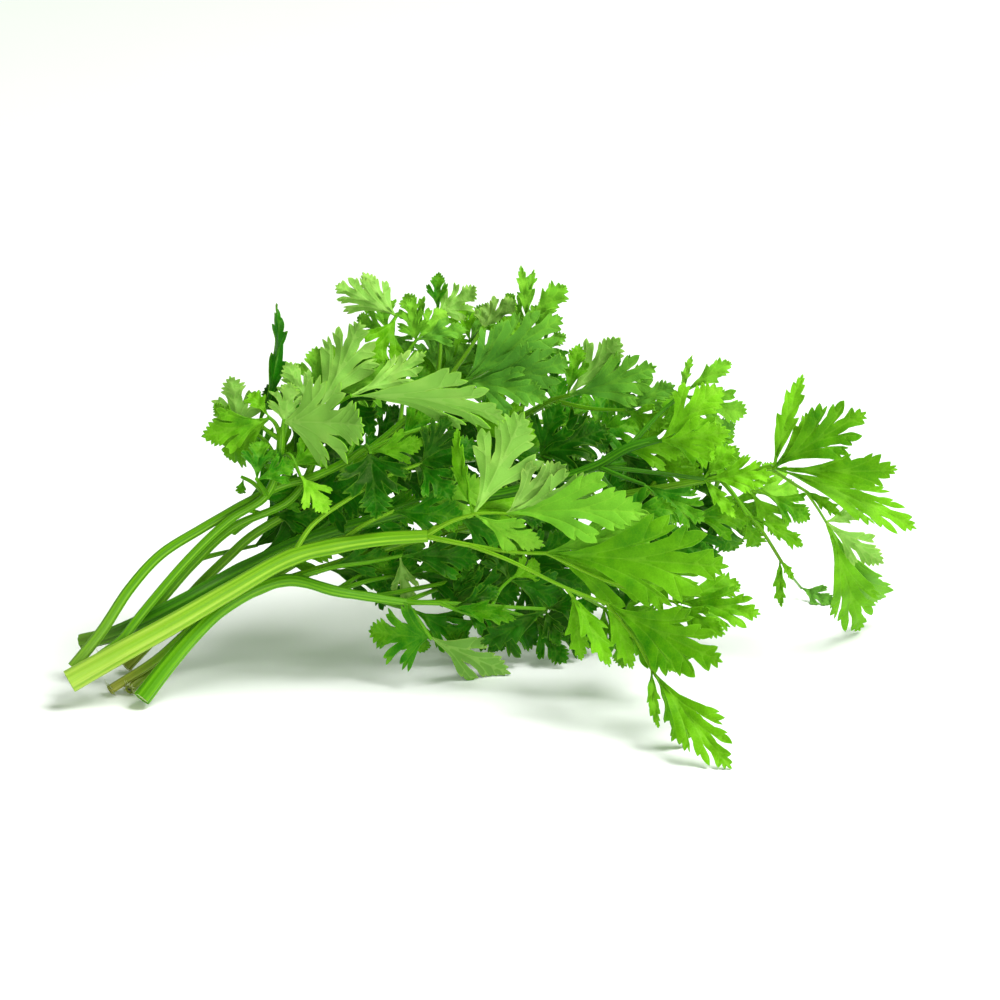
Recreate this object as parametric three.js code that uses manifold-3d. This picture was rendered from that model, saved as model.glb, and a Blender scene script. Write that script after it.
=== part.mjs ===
// A bunch of flat-leaf parsley, freshly cut and lying on a table: nine leafy stems, each of which
// grew as one piece and is one solid, with its stalk, its side stems and its lobed, toothed leaflets.
// Millimetres, +Z up. The cut ends lie at -X, the leaves spread towards +X, and the table is z = 0.
import * as THREE from "three";
import Module from "manifold-3d";

// Driving dimensions, in millimetres and degrees.
const STEP = 0.28; // one step of the layout board, below
const LEAN = 20; // how far the layout board leans back from upright
const CENTRE_ACROSS = 491.5; // the board step that stands over the origin
const TABLE_DOWN = 690; // the board step at which the board meets the table
const SET_BACK = 11.5; // from the foot of the board to the origin
const BLADE_THICKNESS = 0.8; // of a leaflet, measured square to its plane
const ROOT_START = 0.15; // a leaflet's root starts as a point this far from the stem's end
const COLLAR = 1.3; // and has its full thickness this far along
const COLLAR_WIDTH = 0.7;
const TWIG_RADII = [1.0, 0.7]; // a side stem where it starts and where it ends
const TWIG_SIDES = 4;
const KNOT = 0.8; // how far a stem goes on past the point that its leaflets spring from
const CLEARANCE = 0.35; // kept between two stems or leaflets that grew apart
const SPREAD_ROOT = 0.18; // share of a leaflet's length in which it may touch its own neighbours
const FOLD = 0.22; // rise of a leaflet's halves on either side of its midrib
const ARCH = 0.07; // rise of its midrib, as a share of its length
const SURFACE_STEPS = [0.35, 0.7]; // where the midrib has vertices of its own
const WOBBLE = [0.03, 0.2]; // spread of the edge points, along and across a leaflet
const HOLLOW = 0.01; // how far the midrib is drawn in while a half is split into triangles
const SPAN_STEPS = 1.3; // steps of a stalk between two of its places
const FACET_MERGE = 0.02; // facets closer to one plane than this are merged
const TABLE = Infinity; // in place of a distance behind the board: on the table

// The edge of half a leaflet, from its root to its tip: [share of the length, share of the half width].
const CUTS = {
  trefoil: [
    [0.14, 0.3], [0.3, 0.94], [0.44, 0.9], [0.33, 0.36], [0.64, 0.88], [0.7, 0.62], [0.48, 0.22],
    [0.84, 0.44],
  ],
  ovate: [
    [0.34, 0.34], [0.54, 0.86], [0.69, 0.94], [0.71, 0.66], [0.48, 0.23], [0.78, 0.56], [0.9, 0.42],
  ],
  fingered: [
    [0.3, 0.26], [0.62, 0.95], [0.73, 0.84], [0.48, 0.27], [0.78, 0.74], [0.885, 0.6], [0.68, 0.2],
    [0.93, 0.34],
  ],
  strap: [[0.3, 0.5], [0.56, 1], [0.54, 0.55], [0.8, 0.85], [0.79, 0.4]],
  wedge: [[0.4, 0.36], [0.66, 0.95], [0.66, 0.58], [0.88, 0.9], [0.86, 0.42]],
};

// Changes that bend a leaflet clear of another: [its tip moved back, its face turned].
const BENDS = [
  [0, 0], [3, 0], [-3, 0], [0, 12], [0, -12], [6, 0], [-6, 0], [3, 16], [-3, -16], [9, 0], [-9, 0],
  [6, -20], [-6, 20], [12, 0], [-12, 0], [9, 25], [-9, -25], [16, 0], [-16, 0], [0, 35], [0, -35],
  [12, -30], [-12, 30], [20, 0], [-20, 0], [16, 35], [-16, -35], [0, 55], [0, -55], [25, 0], [-25, 0],
];

// The stems. A place is [steps across the board, steps down it, millimetres behind it]. A twig ends at
// the root of its leaflets, each [cut, tip place, half width to length, turn away from the board, arch].
const SPRIGS = [
  {
    name: "main_sprig",
    color: 0x86b23a,
    radii: [3.5, 1.9],
    sides: 8,
    stalk: [
      [71, 681, -16], [117, 655, -15], [175, 623, -14], [232, 590, -13],
      [292, 557, -12], [335, 546, -12], [381, 539, -12], [425, 536, -13],
    ],
    twigs: [
      {
        route: [[292, 557, -12], [313, 525, -14], [352, 497, -12], [384, 478, -11], [420, 464, -10]],
        blades: [
          ["trefoil", [482, 446, -8], 0.5, 20],
          ["fingered", [448, 416, -4], 0.36, -20],
          ["ovate", [452, 500, -16], 0.39, 10],
        ],
      },
      {
        route: [[425, 536, -13], [450, 522, -16], [474, 514, -18]],
        blades: [
          ["ovate", [524, 412, -16], 0.35, 190],
          ["strap", [457, 428, -14], 0.12, 40],
          ["ovate", [545, 546, -22], 0.26, -20],
        ],
      },
      {
        route: [[474, 514, -18], [490, 513, -19], [506, 514, -20]],
        blades: [
          ["ovate", [566, 464, -15], 0.34, 160],
          ["ovate", [599, 480, -21], 0.26, 185],
          ["ovate", [648, 513, -27], 0.26, 20],
        ],
      },
      {
        route: [[425, 536, -13], [470, 545, -18], [516, 552, -21], [546, 553, -23]],
        blades: [
          ["ovate", [662, 526, -24], 0.26, 15],
          ["fingered", [726, 566, -32], 0.25, 0],
          ["ovate", [667, 588, -31], 0.31, -15],
        ],
      },
      {
        route: [[546, 553, -23], [610, 582, -28], [672, 601, -32]],
        blades: [
          ["fingered", [758, 613, -38], 0.28, 10],
          ["wedge", [739, 584, -33], 0.25, 30],
          ["ovate", [723, 633, -40], 0.26, -20],
        ],
      },
      {
        route: [[470, 545, -18], [509, 560, -23], [565, 587, -28], [606, 603, -31]],
        blades: [
          ["ovate", [690, 672, -38], 0.26, 20],
          ["fingered", [720, 660, -44], 0.26, -10],
          ["strap", [632, 668, -30], 0.19, 10],
        ],
      },
      {
        route: [[565, 587, -28], [572, 596, -27]],
        blades: [
          ["strap", [581, 660, -24], 0.19, 0],
          ["strap", [609, 665, -28], 0.17, 20],
        ],
      },
      {
        route: [[606, 603, -31], [632, 636, -38], [650, 668, -43]],
        blades: [
          ["fingered", [728, 765, TABLE], 0.19, 0],
          ["wedge", [684, 742, -52], 0.22, 30],
          ["strap", [656, 725, -48], 0.12, -20],
        ],
      },
      {
        route: [[335, 546, -12], [362, 526, -8], [392, 512, -5]],
        blades: [
          ["ovate", [466, 518, -4], 0.4, 10],
        ],
      },
    ],
  },
  {
    name: "low_sprig",
    color: 0x9cc257,
    radii: [2.7, 1.1],
    sides: 8,
    stalk: [
      [143, 698, -14.3], [170, 663, -12], [198, 631, -10], [221, 610, -8], [262, 587, -6],
      [292, 580, -6], [336, 591, -7], [372, 597, -6], [405, 602, -5],
    ],
    twigs: [
      {
        route: [[292, 580, -6], [330, 568, -3], [370, 562, 1], [400, 556, 4]],
        blades: [
          ["ovate", [410, 603, 4], 0.34, 200],
          ["ovate", [480, 559, 8], 0.31, 10],
        ],
      },
      {
        route: [[405, 602, -5], [420, 622, -4], [430, 637, -3]],
        blades: [
          ["trefoil", [368, 631, 2], 0.53, 15],
          ["ovate", [510, 674, TABLE], 0.24, 190],
        ],
      },
      {
        route: [[405, 602, -5], [441, 603, -6], [492, 606, -5], [545, 609, -4]],
        blades: [
          ["strap", [480, 645, 2], 0.19, 10],
          ["ovate", [600, 606, -10], 0.34, 20],
          ["ovate", [560, 646, -8], 0.31, -10],
        ],
      },
      {
        route: [[441, 603, -6], [452, 608, -7]],
        blades: [
          ["strap", [516, 619, -12], 0.18, 20],
          ["ovate", [500, 588, -8], 0.26, -10],
        ],
      },
      {
        route: [[372, 597, -6], [420, 588, 8], [470, 578, 20], [520, 572, 30]],
        blades: [
          ["trefoil", [600, 590, 34], 0.5, 20],
          ["ovate", [572, 530, 32], 0.39, -15],
          ["ovate", [540, 622, 34], 0.39, 0],
        ],
      },
      {
        route: [[336, 591, -7], [372, 580, 6], [410, 574, 14]],
        blades: [
          ["ovate", [486, 590, 18], 0.4, 15],
          ["ovate", [470, 544, 16], 0.36, -10],
        ],
      },
    ],
  },
  {
    name: "arching_sprig",
    color: 0x93c244,
    radii: [1.75, 1.1],
    sides: 6,
    stalk: [
      [74, 667, -10], [102, 632, -9], [131, 588, -8], [161, 555, -7], [200, 530, -6],
      [240, 507, -5], [280, 486, -4], [313, 477, -4], [345, 462, -5], [366, 448, -7],
    ],
    twigs: [
      {
        route: [[345, 462, -5], [366, 448, -9], [370, 452, -12]],
        blades: [
          ["trefoil", [377, 519, -17], 0.53, 10],
          ["ovate", [425, 441, -16], 0.34, -15],
        ],
      },
      {
        route: [[345, 462, -5], [400, 436, -2], [440, 424, 1], [470, 420, 2]],
        blades: [
          ["trefoil", [536, 436, 0], 0.5, 20],
          ["ovate", [505, 392, 2], 0.39, -20],
          ["ovate", [512, 470, -2], 0.39, 0],
        ],
      },
      {
        route: [[345, 462, -5], [372, 408, 3], [400, 362, 8], [416, 340, 10]],
        blades: [
          ["trefoil", [411, 297, 12], 0.38, 15],
          ["ovate", [445, 308, 12], 0.34, -10],
          ["ovate", [468, 329, 8], 0.31, 20],
        ],
      },
    ],
  },
  {
    name: "left_sprig",
    color: 0x8bbb41,
    radii: [1.45, 1.1],
    sides: 6,
    stalk: [
      [101, 656, -10], [122, 640, -10], [140, 617, -9], [189, 559, -8], [230, 520, -8],
      [267, 495, -8], [279, 462, -8], [282, 430, -8],
    ],
    twigs: [
      {
        route: [[279, 462, -8], [262, 438, -5], [238, 428, -3]],
        blades: [
          ["trefoil", [230, 376, 0], 0.53, 195],
          ["ovate", [214, 404, -3], 0.39, 20],
        ],
      },
      {
        route: [[282, 440, -8], [276, 424, -8], [270, 418, -8]],
        blades: [
          ["ovate", [202, 437, -9], 0.35, 10],
          ["wedge", [226, 458, -10], 0.33, 0],
          ["wedge", [250, 393, -6], 0.34, -15],
        ],
      },
      {
        route: [[282, 440, -8], [269, 432, -7], [259, 423, -6]],
        blades: [["strap", [277, 303, -2], 0.12, -58]],
      },
      {
        route: [[282, 440, -8], [283, 430, -9], [284, 422, -10]],
        blades: [
          ["trefoil", [292, 382, -12], 0.53, 185],
          ["trefoil", [366, 426, -16], 0.45, 170],
        ],
      },
      {
        route: [[279, 462, -8], [290, 455, -12], [300, 474, -14]],
        blades: [["ovate", [328, 513, -16], 0.39, 15]],
      },
      {
        route: [[267, 495, -8], [252, 482, -6], [244, 478, -5]],
        blades: [["wedge", [240, 494, -4], 0.34, 0]],
      },
      {
        route: [[279, 462, -8], [272, 462, -1], [266, 466, 6]],
        blades: [
          ["ovate", [252, 424, 12], 0.42, 10],
          ["ovate", [308, 436, 14], 0.44, -10],
        ],
      },
    ],
  },
  {
    name: "slender_sprig",
    color: 0x84b53c,
    radii: [1.4, 1.05],
    sides: 6,
    stalk: [
      [108, 658, 4], [131, 633, 3], [158, 604, 3], [198, 559, 2], [234, 527, 1],
      [290, 500, 1], [312, 465, 0], [316, 430, -2],
    ],
    twigs: [
      {
        route: [[316, 430, -2], [315, 422, -4], [315, 414, -6]],
        blades: [
          ["fingered", [361, 321, -4], 0.34, 200],
          ["ovate", [286, 362, -4], 0.34, 170],
        ],
      },
      {
        route: [[316, 430, -2], [322, 414, -12], [350, 397, -18]],
        blades: [
          ["fingered", [507, 419, -22], 0.25, 150],
          ["fingered", [427, 352, -15], 0.22, 205],
        ],
      },
      {
        route: [[316, 430, -2], [345, 385, 3], [375, 345, 7], [396, 316, 9]],
        blades: [
          ["fingered", [335, 285, 5], 0.3, 190],
          ["ovate", [362, 271, 9], 0.29, 170],
          ["ovate", [368, 367, 2], 0.39, 10],
        ],
      },
      {
        route: [[316, 430, -2], [326, 406, 1], [338, 390, 2]],
        blades: [
          ["trefoil", [402, 374, 4], 0.5, 15],
          ["ovate", [376, 432, -1], 0.42, -10],
        ],
      },
      {
        route: [[198, 559, 2], [226, 552, 12], [254, 546, 20]],
        blades: [
          ["ovate", [350, 508, 26], 0.36, 10],
          ["ovate", [300, 498, 24], 0.42, -15],
        ],
      },
    ],
  },
  {
    name: "brown_sprig",
    color: 0x9a9550,
    radii: [1.6, 1.1],
    sides: 6,
    stalk: [
      [125, 668, 12], [160, 631, 10], [198, 586, 8], [230, 555, 7], [250, 537, 7],
      [300, 505, 9], [350, 465, 11], [400, 425, 13], [435, 395, 13],
    ],
    twigs: [
      {
        route: [[435, 395, 13], [450, 388, 8], [464, 382, 4]],
        blades: [
          ["fingered", [563, 317, 1], 0.25, 10],
          ["fingered", [571, 362, -2], 0.26, -10],
          ["ovate", [548, 399, -4], 0.26, 15],
          ["ovate", [508, 320, 6], 0.31, -20],
        ],
      },
      {
        route: [[435, 395, 13], [440, 350, 16], [438, 313, 18]],
        blades: [
          ["ovate", [438, 270, 20], 0.3, 15],
          ["trefoil", [477, 286, 16], 0.45, 190],
        ],
      },
      {
        route: [[435, 395, 13], [465, 355, 15], [482, 328, 17]],
        blades: [
          ["ovate", [488, 302, 18], 0.42, 180],
          ["ovate", [516, 299, 15], 0.39, 170],
          ["ovate", [526, 330, 14], 0.34, 20],
        ],
      },
      {
        route: [[350, 465, 11], [374, 452, 9], [396, 446, 7]],
        blades: [
          ["trefoil", [452, 474, 6], 0.5, 10],
          ["ovate", [438, 398, 8], 0.42, -15],
        ],
      },
      {
        route: [[400, 425, 13], [424, 432, 26], [450, 440, 38]],
        blades: [
          ["trefoil", [500, 420, 44], 0.53, 15],
          ["ovate", [450, 396, 44], 0.42, -10],
          ["ovate", [470, 490, 42], 0.42, 10],
        ],
      },
      {
        route: [[350, 465, 11], [404, 420, 26], [436, 390, 32]],
        blades: [
          ["trefoil", [462, 330, 34], 0.5, 10],
          ["ovate", [498, 366, 34], 0.42, -10],
        ],
      },
    ],
  },
  {
    name: "dark_sprig",
    color: 0x5f9430,
    radii: [2.4, 1.2],
    sides: 7,
    stalk: [
      [81, 642, 6], [110, 635, 2], [136, 624, -3], [179, 603, -5], [240, 570, 1], [300, 542, 3],
      [370, 521, 3], [446, 503, 3], [520, 490, 2], [596, 466, 0], [628, 448, -2], [655, 440, -3],
    ],
    twigs: [
      {
        route: [[628, 448, -2], [655, 441, -4], [660, 441, -5]],
        blades: [
          ["ovate", [722, 387, -9], 0.36, 10],
          ["ovate", [730, 431, -12], 0.32, -15],
          ["wedge", [716, 458, -10], 0.3, 20],
        ],
      },
      {
        route: [[628, 448, -2], [658, 415, 1], [682, 394, 2]],
        blades: [
          ["strap", [692, 355, 2], 0.13, 20],
          ["wedge", [731, 362, 0], 0.19, 10],
          ["ovate", [748, 414, 8], 0.31, -15],
        ],
      },
      {
        route: [[596, 466, 0], [650, 472, 0], [704, 479, 0]],
        blades: [
          ["wedge", [733, 446, -3], 0.33, 15],
          ["fingered", [772, 475, -6], 0.3, 10],
          ["strap", [735, 518, -4], 0.17, 0],
        ],
      },
      {
        route: [[596, 466, 0], [620, 476, -3], [642, 484, -5]],
        blades: [["fingered", [704, 522, -8], 0.32, 15]],
      },
      {
        route: [[446, 503, 3], [500, 474, 6], [540, 455, 8]],
        blades: [
          ["trefoil", [610, 428, 6], 0.47, 15],
          ["ovate", [596, 492, 4], 0.39, -15],
          ["ovate", [560, 402, 9], 0.39, 10],
        ],
      },
      {
        route: [[370, 521, 3], [396, 508, 0], [418, 500, -2]],
        blades: [["ovate", [488, 486, -5], 0.4, 15]],
      },
      {
        route: [[520, 490, 2], [560, 506, -3], [600, 520, -8]],
        blades: [
          ["ovate", [676, 508, -14], 0.31, 20],
          ["ovate", [664, 556, -14], 0.34, -10],
        ],
      },
      {
        route: [[300, 542, 3], [324, 526, 6], [342, 512, 9]],
        blades: [
          ["ovate", [424, 508, 12], 0.42, 10],
          ["ovate", [350, 458, 18], 0.42, -10],
        ],
      },
      {
        route: [[596, 466, 0], [622, 464, 12], [646, 460, 18]],
        blades: [
          ["ovate", [716, 446, 22], 0.36, 10],
          ["ovate", [708, 482, 20], 0.3, -10],
        ],
      },
    ],
  },
  {
    name: "back_sprig",
    color: 0xa08a5c,
    radii: [1.3, 1.0],
    sides: 6,
    stalk: [
      [129, 690, -4.4], [168, 655, 5], [220, 610, 10], [300, 560, 14], [380, 510, 17],
      [450, 462, 20], [520, 418, 22], [552, 400, 18],
    ],
    twigs: [
      {
        route: [[520, 418, 22], [530, 365, 22], [528, 322, 22]],
        blades: [
          ["strap", [521, 264, 22], 0.13, 0],
          ["strap", [534, 267, 21], 0.12, 30],
          ["wedge", [566, 284, 20], 0.28, 15],
          ["ovate", [505, 292, 24], 0.31, -10],
        ],
      },
      {
        route: [[530, 365, 22], [536, 352, 17]],
        blades: [["trefoil", [566, 334, 13], 0.5, 10]],
      },
      {
        route: [[520, 418, 22], [552, 400, 16], [568, 395, 13]],
        blades: [
          ["ovate", [621, 337, 10], 0.35, 190],
          ["ovate", [580, 343, 15], 0.31, 10],
          ["fingered", [657, 366, 6], 0.3, -10],
        ],
      },
      {
        route: [[552, 400, 18], [590, 408, 15], [624, 410, 12]],
        blades: [
          ["ovate", [676, 385, 8], 0.34, 15],
          ["ovate", [668, 424, 8], 0.34, -15],
        ],
      },
      {
        route: [[450, 462, 20], [480, 458, 36], [505, 452, 48]],
        blades: [
          ["trefoil", [565, 440, 54], 0.53, 15],
          ["ovate", [515, 404, 56], 0.42, -15],
          ["ovate", [540, 500, 52], 0.42, 10],
        ],
      },
      {
        route: [[520, 418, 22], [560, 424, 34], [596, 430, 42]],
        blades: [
          ["trefoil", [650, 424, 44], 0.53, 15],
          ["ovate", [602, 384, 46], 0.42, -15],
          ["ovate", [640, 474, 44], 0.42, 10],
        ],
      },
    ],
  },
  {
    name: "right_sprig",
    color: 0xa3925a,
    radii: [1.4, 1.0],
    sides: 6,
    stalk: [
      [110, 690, -4.7], [156, 660, -1], [200, 622, 4], [260, 590, 8], [350, 560, 12],
      [450, 530, 14], [560, 505, 14], [650, 490, 11], [720, 477, 8], [770, 468, 5],
    ],
    twigs: [
      {
        route: [[720, 477, 8], [770, 468, 5], [774, 468, 4]],
        blades: [
          ["strap", [803, 374, 2], 0.13, 15],
          ["wedge", [820, 412, 0], 0.17, 0],
          ["fingered", [866, 412, -3], 0.27, 10],
          ["wedge", [897, 470, -7], 0.15, -15],
          ["fingered", [918, 529, 2], 0.15, 20],
        ],
      },
      {
        route: [[770, 468, 5], [790, 481, 5], [806, 491, 5]],
        blades: [
          ["strap", [842, 516, 3], 0.17, 15],
        ],
      },
      {
        route: [[806, 491, 5], [818, 508, 8], [827, 522, 12]],
        blades: [
          ["ovate", [885, 564, 12], 0.27, 190],
          ["strap", [865, 512, 9], 0.22, 170],
          ["fingered", [864, 633, TABLE], 0.17, 10],
          ["wedge", [882, 604, 36], 0.15, -10],
        ],
      },
      {
        route: [[720, 477, 8], [738, 500, 7], [746, 514, 7]],
        blades: [
          ["wedge", [804, 546, 4], 0.14, 20],
          ["wedge", [758, 548, 12], 0.3, -10],
        ],
      },
      {
        route: [[738, 500, 7], [762, 530, 8], [781, 560, 9]],
        blades: [
          ["strap", [794, 580, 10], 0.2, 20],
          ["strap", [782, 608, 12], 0.14, -20],
        ],
      },
      {
        route: [[781, 560, 9], [794, 576, 40], [806, 589, 68]],
        blades: [["ovate", [840, 606, TABLE], 0.34, 0]],
      },
      {
        route: [[720, 477, 8], [750, 486, 16], [768, 494, 20]],
        blades: [["ovate", [812, 520, 20], 0.4, 10]],
      },
      {
        route: [[450, 530, 14], [480, 532, 32], [520, 530, 44]],
        blades: [
          ["trefoil", [588, 536, 48], 0.53, 15],
          ["ovate", [540, 484, 50], 0.42, -15],
          ["ovate", [556, 584, 44], 0.42, 10],
        ],
      },
      {
        route: [[560, 505, 14], [600, 512, 32], [638, 518, 42]],
        blades: [
          ["trefoil", [704, 514, 44], 0.53, 15],
          ["ovate", [660, 470, 46], 0.42, -15],
          ["ovate", [676, 566, 42], 0.42, 10],
        ],
      },
      {
        route: [[650, 490, 11], [672, 506, 16], [688, 516, 18]],
        blades: [
          ["ovate", [752, 520, 20], 0.36, 10],
          ["ovate", [716, 568, 20], 0.4, -10],
        ],
      },
      {
        route: [[350, 560, 12], [386, 558, 22], [416, 552, 28]],
        blades: [
          ["ovate", [508, 548, 34], 0.36, 10],
          ["ovate", [478, 604, 30], 0.36, -10],
        ],
      },
    ],
  },
];

const wasm = await Module();
wasm.setup();

const SIN = Math.sin(THREE.MathUtils.degToRad(LEAN));
const COS = Math.cos(THREE.MathUtils.degToRad(LEAN));
const FACING = new THREE.Vector3(0, -COS, SIN); // square to the board, towards its front

// How far behind the board a place lies; on the table, half a leaflet's thickness above it.
function behind([, down, back]) {
  const up = (TABLE_DOWN - down) * STEP;
  return back === TABLE ? (up * COS - BLADE_THICKNESS / 2) / SIN : back;
}

function point(place) {
  const up = (TABLE_DOWN - place[1]) * STEP;
  const back = behind(place);
  const y = up * SIN + back * COS - SET_BACK;
  return new THREE.Vector3((place[0] - CENTRE_ACROSS) * STEP, y, up * COS - back * SIN);
}

// A draw between -0.5 and 0.5 that is the same every time.
function draw(seed, index) {
  const value = Math.sin(seed * 12.9898 + index * 78.233) * 43758.5453;
  return value - Math.floor(value) - 0.5;
}

function solid(vertices, faces) {
  const geometry = new THREE.BufferGeometry();
  geometry.setAttribute("position", new THREE.Float32BufferAttribute(vertices, 3));
  geometry.setIndex(faces);
  return new wasm.Manifold(
    new wasm.Mesh({
      numProp: 3,
      vertProperties: geometry.attributes.position.array,
      triVerts: new Uint32Array(geometry.index.array),
    }),
  );
}

// A tapered stem along its route. Where it would dip under the table it is flat.
function stem(route, [start, end], sides) {
  const places = route.map(point);
  const last = places[places.length - 1];
  const ahead = last.clone().sub(places[places.length - 2]).normalize();
  places[places.length - 1] = last.addScaledVector(ahead, KNOT);
  const curve = new THREE.CatmullRomCurve3(places, false, "centripetal");
  const steps = Math.round((route.length - 1) * (sides > TWIG_SIDES ? SPAN_STEPS : 1));
  const frames = curve.computeFrenetFrames(steps, false);
  const vertices = [];
  const faces = [];
  for (let i = 0; i <= steps; i++) {
    const centre = curve.getPointAt(i / steps);
    const radius = start + ((end - start) * i) / steps;
    for (let k = 0; k < sides; k++) {
      const angle = (2 * Math.PI * k) / sides;
      const p = centre
        .clone()
        .addScaledVector(frames.normals[i], radius * Math.cos(angle))
        .addScaledVector(frames.binormals[i], radius * Math.sin(angle));
      vertices.push(p.x, p.y, Math.max(p.z, 0));
      if (i === steps) continue;
      const here = i * sides + k;
      const next = i * sides + ((k + 1) % sides);
      faces.push(here, next, here + sides, next, next + sides, here + sides);
    }
  }
  for (let k = 1; k < sides - 1; k++) {
    faces.push(0, k + 1, k);
    faces.push(steps * sides, steps * sides + k, steps * sides + k + 1);
  }
  return solid(vertices, faces);
}

// The edge of one half of a leaflet, each point moved a little so that no two leaflets are alike.
function halfEdge(cut, seed, side) {
  return CUTS[cut].map(([along, out], i) => [
    along + WOBBLE[0] * draw(seed, i + 40 * side),
    out * (1 + WOBBLE[1] * draw(seed, i + 20 + 40 * side)),
  ]);
}

// A leaflet from its root to its tip: one thin sheet, folded along its midrib and arched.
function blade(root, row, seed, [push, turn], thickness) {
  const [cut, tipPlace, breadth, roll, arch = ARCH] = row;
  const base = point(root);
  const tip = point([tipPlace[0], tipPlace[1], behind(tipPlace) + push]);
  const along = tip.clone().sub(base);
  const length = along.length();
  along.normalize();
  const flat = FACING.clone().addScaledVector(along, -FACING.dot(along)).normalize();
  const angle = THREE.MathUtils.degToRad(roll + turn);
  const normal = flat
    .clone()
    .multiplyScalar(Math.cos(angle))
    .addScaledVector(flat.clone().cross(along), Math.sin(angle));
  const across = normal.clone().cross(along);

  // The points of the sheet: the root, the midrib's own points, the tip, then each half's edge.
  const flats = [[ROOT_START / length, 0], ...SURFACE_STEPS.map((s) => [s, 0]), [1, 0]];
  const halves = [-1, 1].map((side) => {
    const edge = halfEdge(cut, seed, side > 0 ? 1 : 0).map(([s, t]) => [s, t * breadth * side]);
    edge.unshift([COLLAR / length, (side * COLLAR_WIDTH) / 2 / length]);
    const first = flats.length;
    flats.push(...edge);
    return edge.map((_, i) => first + i);
  });

  const triangles = [];
  for (const half of halves) {
    const ring = [0, ...half, 3, 2, 1];
    const side = Math.sign(flats[half[0]][1]);
    // The midrib is drawn a little hollow while the half is split, so that it keeps its vertices.
    const contour = ring.map((i) => {
      const [s, t] = flats[i];
      return new THREE.Vector2(s, t + (i === 1 || i === 2 ? HOLLOW * side * breadth : 0));
    });
    for (const [a, b, c] of THREE.ShapeUtils.triangulateShape(contour, [])) {
      const turned = contour[b].clone().sub(contour[a]).cross(contour[c].clone().sub(contour[a])) > 0;
      triangles.push(turned ? [ring[a], ring[b], ring[c]] : [ring[a], ring[c], ring[b]]);
    }
  }

  const vertices = [];
  for (const lift of [thickness / 2, -thickness / 2]) {
    flats.forEach(([s, t], i) => {
      const rise = arch * 4 * s * (1 - s) + FOLD * Math.abs(t);
      const p = base
        .clone()
        .addScaledVector(along, s * length)
        .addScaledVector(across, t * length)
        .addScaledVector(normal, rise * length);
      p.z = Math.max(p.z, BLADE_THICKNESS / 2);
      p.addScaledVector(normal, i === 0 ? 0 : lift);
      vertices.push(p.x, p.y, p.z);
    });
  }
  // Both faces share the root's one point.
  const count = flats.length;
  const under = (i) => (i === 0 ? 0 : i + count);
  const faces = [];
  for (const [a, b, c] of triangles) {
    faces.push(a, b, c, under(a), under(c), under(b));
  }
  const rim = [0, ...halves[0], 3, ...halves[1].slice().reverse()];
  for (let i = 0; i < rim.length; i++) {
    const a = rim[i];
    const b = rim[(i + 1) % rim.length];
    if (a !== 0) faces.push(a, under(a), b);
    if (b !== 0) faces.push(b, under(a), under(b));
  }
  return { solid: solid(vertices, faces), base, reach: SPREAD_ROOT * length, low: tip.z };
}

// Whether two boxes overlap.
function boxesMeet(a, b) {
  return a.min.every((v, i) => v <= b.max[i]) && b.min.every((v, i) => v <= a.max[i]);
}

// Whether two pieces of one stem meet only near the root of the first.
function meetAtRoot(common, made) {
  const box = common.boundingBox();
  const far = box.min.map((low, i) => {
    const centre = made.base.getComponent(i);
    return Math.max(Math.abs(low - centre), Math.abs(box.max[i] - centre));
  });
  return Math.hypot(...far) < made.reach;
}

const pieces = []; // every stem and leaflet so far: {sprig, leaf, solid, box}

function keep(sprig, leaf, made) {
  pieces.push({ sprig, leaf, solid: made, box: made.boundingBox() });
}

// How badly a leaflet would cross what is there already: 0 is clear, and below 1000 it only touches
// leaflets of its own stem.
function trouble(sprig, wide) {
  const box = wide.solid.boundingBox();
  let sum = 0;
  for (const other of pieces) {
    if ((other.sprig === sprig && !other.leaf) || !boxesMeet(box, other.box)) continue;
    const common = wide.solid.intersect(other.solid);
    if (common.isEmpty()) continue;
    if (other.sprig !== sprig) sum += 1000;
    else if (!meetAtRoot(common, wide)) sum += 1;
  }
  return sum;
}

// The first bend that leaves the leaflet clear, or the one with the least trouble.
function bendFor(sprig, root, row, seed) {
  let best = { sum: Infinity };
  for (const bend of BENDS) {
    const wide = blade(root, row, seed, bend, BLADE_THICKNESS + 2 * CLEARANCE);
    if (wide.low < 0) continue;
    const sum = trouble(sprig, wide);
    if (sum < best.sum) best = { sum, bend };
    if (sum === 0) break;
  }
  return best.bend;
}

SPRIGS.forEach((sprig, s) => {
  keep(s, false, stem(sprig.stalk, sprig.radii, sprig.sides));
  for (const twig of sprig.twigs) {
    keep(s, false, stem(twig.route, TWIG_RADII, TWIG_SIDES));
  }
});

let seed = 0;
SPRIGS.forEach((sprig, s) => {
  for (const twig of sprig.twigs) {
    const root = twig.route[twig.route.length - 1];
    for (const row of twig.blades) {
      seed += 1;
      const bend = bendFor(s, root, row, seed);
      keep(s, true, blade(root, row, seed, bend, BLADE_THICKNESS).solid);
    }
  }
});

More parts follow.
